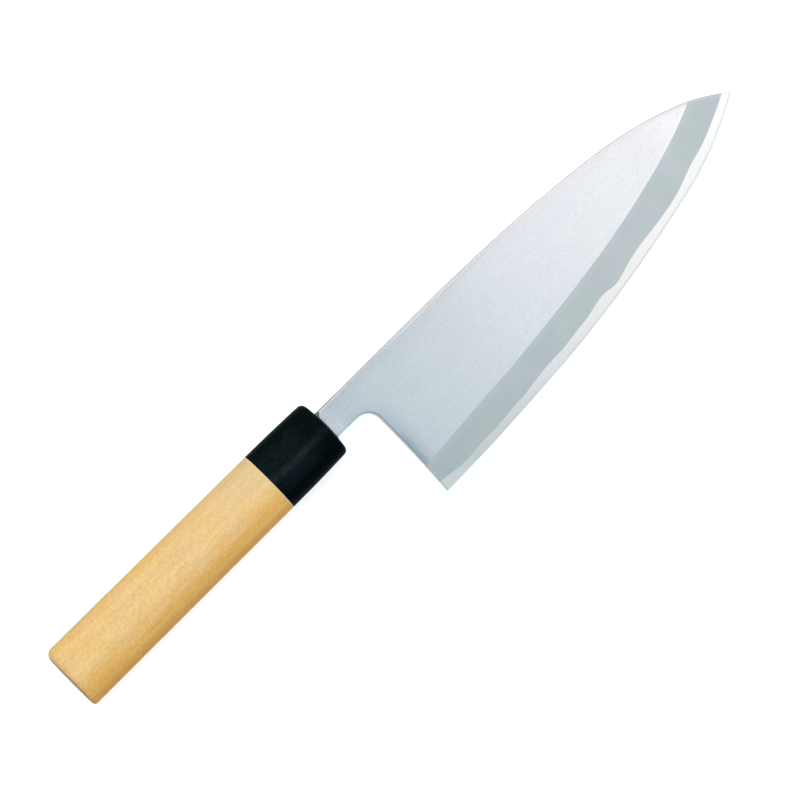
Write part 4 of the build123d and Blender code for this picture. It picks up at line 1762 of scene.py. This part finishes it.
@dataclass(frozen=True)
class Haft:
    """The wooden handle, the ferrule on its tenon, and the resin round the neck. Sizes are in
    millimetres, and the angles of sharp edges in degrees."""

    form: GripForm = GripForm()
    seam_ease: float = 0.15
    resin_lump: float = 1.5
    resin_overlap: float = 0.1
    middle_share: float = 0.02
    flank_width: float = 9.0
    flank_start: float = 2.0
    flank_low: float = -3.0
    butt_fade: tuple = (0.2, 0.3)
    # Room left between a rounded end and the first plain loop.
    butt_room: float = 3.2
    seam_room: float = 0.6
    ferrule_back_room: float = 0.8
    ferrule_front_room: float = 1.2
    # Loops in each stretch.
    butt_steps: int = 14
    butt_round_steps: int = 9
    grip_steps: int = 40
    ferrule_steps: int = 30
    front_round_steps: int = 10
    front_steps: int = 12
    resin_steps: int = 9
    sharp_above: float = 40.0
    resin_sharp_above: float = 50.0

    def wood(self) -> tuple:
        """The handle: rounded butt, straight flanks, shoulder, tenon and the burnt hole for the tang.

        Sections stand one after another along the knife. At the butt they are drawn in as on a circle.

        Returns:
            Points in knife millimetres and faces.
        """
        form = self.form
        butt = form.section(form.butt_size)
        size = form.skewed(butt, form.butt_round, form.butt_skew)
        inner = form.inset(butt, size)
        start, seam = -form.handle_length, -form.ferrule_length
        loops = [form.standing(inner * share, start)
                 for share in np.linspace(self.middle_share, 1, self.butt_steps)]
        for angle in np.linspace(0, math.pi / 2, self.butt_round_steps)[1:]:
            loop = form.inset(butt, size * (1 - math.sin(angle)))
            loops.append(form.standing(loop, start + size * (1 - math.cos(angle))))
        flank_end = seam - self.seam_ease - self.seam_room
        for x in np.linspace(start + self.butt_room, flank_end, self.grip_steps):
            loops.append(form.standing(form.section(form.grip_size(x)), x))
        edge = form.section(form.seam_size)
        loops.append(form.standing(edge, seam - self.seam_ease))
        loops.append(form.standing(form.inset(edge, self.seam_ease), seam))
        wall = 2 * (form.ferrule_wall + form.tenon_fit)
        tenon = form.section((form.seam_size[0] - wall, form.seam_size[1] - wall))
        loops += form.between(loops[-1], form.standing(tenon, seam), 4)
        loops += form.between(loops[-1], form.standing(tenon, -form.front_wall - form.tenon_fit), 6)
        mouth_share = (form.front_wall - form.neck_seat) / (form.hole_depth - form.neck_seat)
        mouth = tuple(a + (b - a) * mouth_share for a, b in zip(form.tang_hole, form.tang_hole_end))
        hole = form.standing(form.rectangle(mouth), -form.front_wall - form.tenon_fit)
        loops += form.between(loops[-1], hole, 6)
        hole_end = form.standing(form.rectangle(form.tang_hole_end), -form.hole_depth)
        loops += form.between(loops[-1], hole_end, 8)
        return closed_shell(np.stack(loops))

    def cap(self) -> tuple:
        """The ferrule: crowned front with the seal's recess and the slot, and the tenon's pocket behind.

        Sections stand one after another along the knife, over the front, and back inside to the seam.

        Returns:
            Points in knife millimetres and faces.
        """
        form = self.form
        seam = -form.ferrule_length
        back = form.section(form.seam_size)
        loops = [form.standing(form.inset(back, self.seam_ease), seam),
                 form.standing(back, seam + self.seam_ease)]
        front_start = -form.front_round - self.ferrule_front_room
        for x in np.linspace(seam + self.ferrule_back_room, front_start, self.ferrule_steps):
            loops.append(form.standing(form.section(form.ferrule_size(x)), x))
        front = form.section(form.ferrule_size(-form.front_round))
        size = form.skewed(front, form.front_round, form.front_skew)
        rim, mouth = form.inset(front, size), form.rectangle(form.seal_block)
        for angle in np.linspace(0, math.pi / 2, self.front_round_steps):
            loop = form.inset(front, size * (1 - math.cos(angle)))
            loops.append(form.standing(loop, form.dome(rim) - size * (1 - math.sin(angle))))
        for share in np.linspace(0, 1, self.front_steps)[1:]:
            loop = rim + (mouth - rim) * share
            loops.append(form.standing(loop, form.dome(loop)))
        loops += form.between(loops[-1], form.standing(mouth, -form.seal_depth), 3)
        slot = form.rectangle(form.neck_slot)
        loops += form.between(loops[-1], form.standing(slot, -form.seal_depth), 2)
        loops += form.between(loops[-1], form.standing(slot, -form.neck_seat), 2)
        tang = form.rectangle(form.tang_slot)
        loops += form.between(loops[-1], form.standing(tang, -form.neck_seat), 2)
        loops += form.between(loops[-1], form.standing(tang, -form.front_wall), 3)
        wall = 2 * form.ferrule_wall
        pocket = form.section((form.seam_size[0] - wall, form.seam_size[1] - wall))
        loops += form.between(loops[-1], form.standing(pocket, -form.front_wall), 4)
        loops += form.between(loops[-1], form.standing(pocket, seam), 8)
        loops += form.between(loops[-1], loops[0], 4)[:-1]
        return closed_shell(np.stack(loops), ring=True)

    def resin(self) -> tuple:
        """The seal: fills the recess, climbs the neck as a square grows, and lumps up as a bell at the
        spine's corner.

        Returns:
            Points in knife millimetres and faces.
        """
        form, blade = self.form, BladeForm()
        outer = form.rectangle(form.seal_block)
        neck_size = (blade.neck_height - self.resin_overlap, blade.neck_thickness - self.resin_overlap)
        neck = form.rectangle(neck_size)
        corner = np.array([form.neck_middle + blade.neck_height / 2, blade.neck_thickness / 2])
        lump = self.resin_lump * np.exp(-((neck - corner) ** 2).sum(axis=1))
        loops = [form.standing(outer, -form.seal_depth)]
        loops += form.between(loops[0], form.standing(outer, form.dome(outer)), 3)
        for share in np.linspace(0, 1, self.resin_steps)[1:]:
            loop = outer + (neck - outer) * share
            loops.append(form.standing(loop, form.dome(loop) + (form.seal_proud + lump) * share ** 2))
        loops += form.between(loops[-1], form.standing(neck, -form.seal_depth), 4)
        loops += form.between(loops[-1], loops[0], 2)[:-1]
        return closed_shell(np.stack(loops), ring=True)

    def wood_values(self, points: Numbers) -> dict:
        """Works out what the wood's finish reads: how far below the ridge, from the seam, and on the butt.

        Args:
            points: (n, 3) points in knife millimetres.

        Returns:
            Name to a value for each point.
        """
        form = self.form
        x, y, z = points.T
        below = (self.flank_start - form.ridge_offset_share * form.butt_size[0] / 2 - y) / self.flank_width
        fade_start, fade_depth = self.butt_fade
        on_butt = (form.butt_round * fade_start - x - form.handle_length) / fade_depth
        radius = np.hypot(y / form.butt_size[0], z / form.butt_size[1]) * 2
        return {
            "below_ridge": np.clip(below, 0, 1) * (z > self.flank_low),
            "from_seam": np.abs(x + form.ferrule_length),
            "butt_face": np.clip(on_butt, 0, 1) * (radius < 1),
        }

    def build(self, effects: Effects) -> list:
        """Makes and dresses the three pieces.

        Args:
            effects: the shared shader groups.

        Returns:
            The three objects.
        """
        wood = self.wood()
        return [
            make_object(Piece.HANDLE, wood, WoodFinish().material(effects),
                        self.sharp_above, self.wood_values(wood[0])),
            make_object(Piece.FERRULE, self.cap(), FerruleFinish().material(effects),
                        self.sharp_above),
            make_object(Piece.TANG_SEAL, self.resin(), ResinFinish().material(effects),
                        self.resin_sharp_above),
        ]


# Stage


@dataclass(frozen=True)
class Lamp:
    """A soft rectangular lamp: where it is, what it looks at, its size, power and colour."""

    name: str
    at: tuple
    to: tuple
    size: tuple
    power: float
    color: tuple = (1.0, 1.0, 1.0)

    def build(self) -> None:
        """Makes the lamp."""
        data = bpy.data.lights.new(self.name, "AREA")
        data.shape = "RECTANGLE"
        data.size, data.size_y = self.size
        data.energy = self.power
        data.color = self.color
        lamp = bpy.data.objects.new(self.name, data)
        lamp.location = self.at
        lamp.rotation_euler = (Vector(self.to) - Vector(self.at)).to_track_quat("-Z", "Y").to_euler()
        bpy.context.scene.collection.objects.link(lamp)


@dataclass(frozen=True)
class Studio:
    """Plain pale floor, soft lamps, a pale sky and the camera at the photo's viewing angle. Places are in
    metres, turns in radians, and lens and sensor in millimetres."""

    sky: tuple = (0.52, 0.87, 1.0)
    sky_strength: float = 0.41
    room_radius: float = 12.0
    room_height: float = 4.0
    room_sides: int = 96
    lamps: tuple = (
        Lamp("key_softbox", (-0.25, 0.55, 1.0), (-0.05, 0.0, 0.0), (0.7, 0.7), 8.4, (1.0, 0.98, 0.94)),
        Lamp("tip_softbox", (0.45, 0.05, 0.95), (0.10, 0.0, 0.0), (0.5, 0.6), 1.84, (1.0, 0.82, 0.82)),
        Lamp("edge_softbox", (0.55, -0.45, 0.75), (0.12, 0.0, 0.0), (0.5, 0.5), 1.88, (1.0, 0.80, 0.70)),
    )
    camera_at: tuple = (-0.174918, 0.006956, 3.248972)
    camera_turn: tuple = (0.036597, -0.037667, -0.780359)
    lens: float = 400.0
    sensor_width: float = 36.0
    clip_end: float = 100.0

    def room(self, effects: Effects) -> None:
        """Makes the round floor with a low wall: a circle, and the same circle raised.

        Args:
            effects: the shared shader groups.
        """
        turn = np.linspace(0, 2 * math.pi, self.room_sides + 1)[:-1]
        ring = np.column_stack([np.cos(turn), np.sin(turn), np.zeros_like(turn)]) * self.room_radius
        wall_top = ring + np.array([0, 0, self.room_height])
        low = np.arange(len(turn))
        high = low + len(turn)
        walls = np.stack([low, high, np.roll(high, -1), np.roll(low, -1)], axis=-1)
        mesh = bpy.data.meshes.new("room_sheet")
        mesh.from_pydata(np.concatenate([ring, wall_top]).tolist(), [], [low.tolist()] + walls.tolist())
        mesh.materials.append(RoomFinish().material(effects))
        room = bpy.data.objects.new("room", mesh)
        bpy.context.scene.collection.objects.link(room)

    def air(self) -> None:
        """Makes the world: one dim cool colour all round."""
        world = bpy.data.worlds.new("studio_air")
        world.use_nodes = True
        world.node_tree.nodes.clear()
        tree = Tree(world.node_tree)
        background = tree.add("Background")
        background.inputs["Color"].default_value = self.sky + (1,)
        background.inputs["Strength"].default_value = self.sky_strength
        tree.join(background.outputs[0], tree.add("OutputWorld").inputs["Surface"])
        bpy.context.scene.world = world

    def camera(self) -> None:
        """Makes the camera."""
        data = bpy.data.cameras.new("photo_camera")
        data.lens = self.lens
        data.sensor_width = self.sensor_width
        data.clip_end = self.clip_end
        camera = bpy.data.objects.new("photo_camera", data)
        camera.location = self.camera_at
        camera.rotation_euler = self.camera_turn
        bpy.context.scene.collection.objects.link(camera)
        bpy.context.scene.camera = camera

    def build(self, effects: Effects) -> None:
        """Makes room, air, lamps and camera.

        Args:
            effects: the shared shader groups.
        """
        self.room(effects)
        self.air()
        for lamp in self.lamps:
            lamp.build()
        self.camera()
        bpy.context.scene.view_settings.view_transform = "Standard"


def main() -> None:
    """Builds the knife's pieces and the stage."""
    logging.basicConfig(level=logging.INFO, format="%(name)s: %(message)s")
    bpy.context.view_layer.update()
    effects = Effects()
    pieces = Blade().build(effects) + Haft().build(effects)
    Studio().build(effects)
    log.info("%d pieces dressed", len(pieces))


if __name__ == "__main__":
    main()
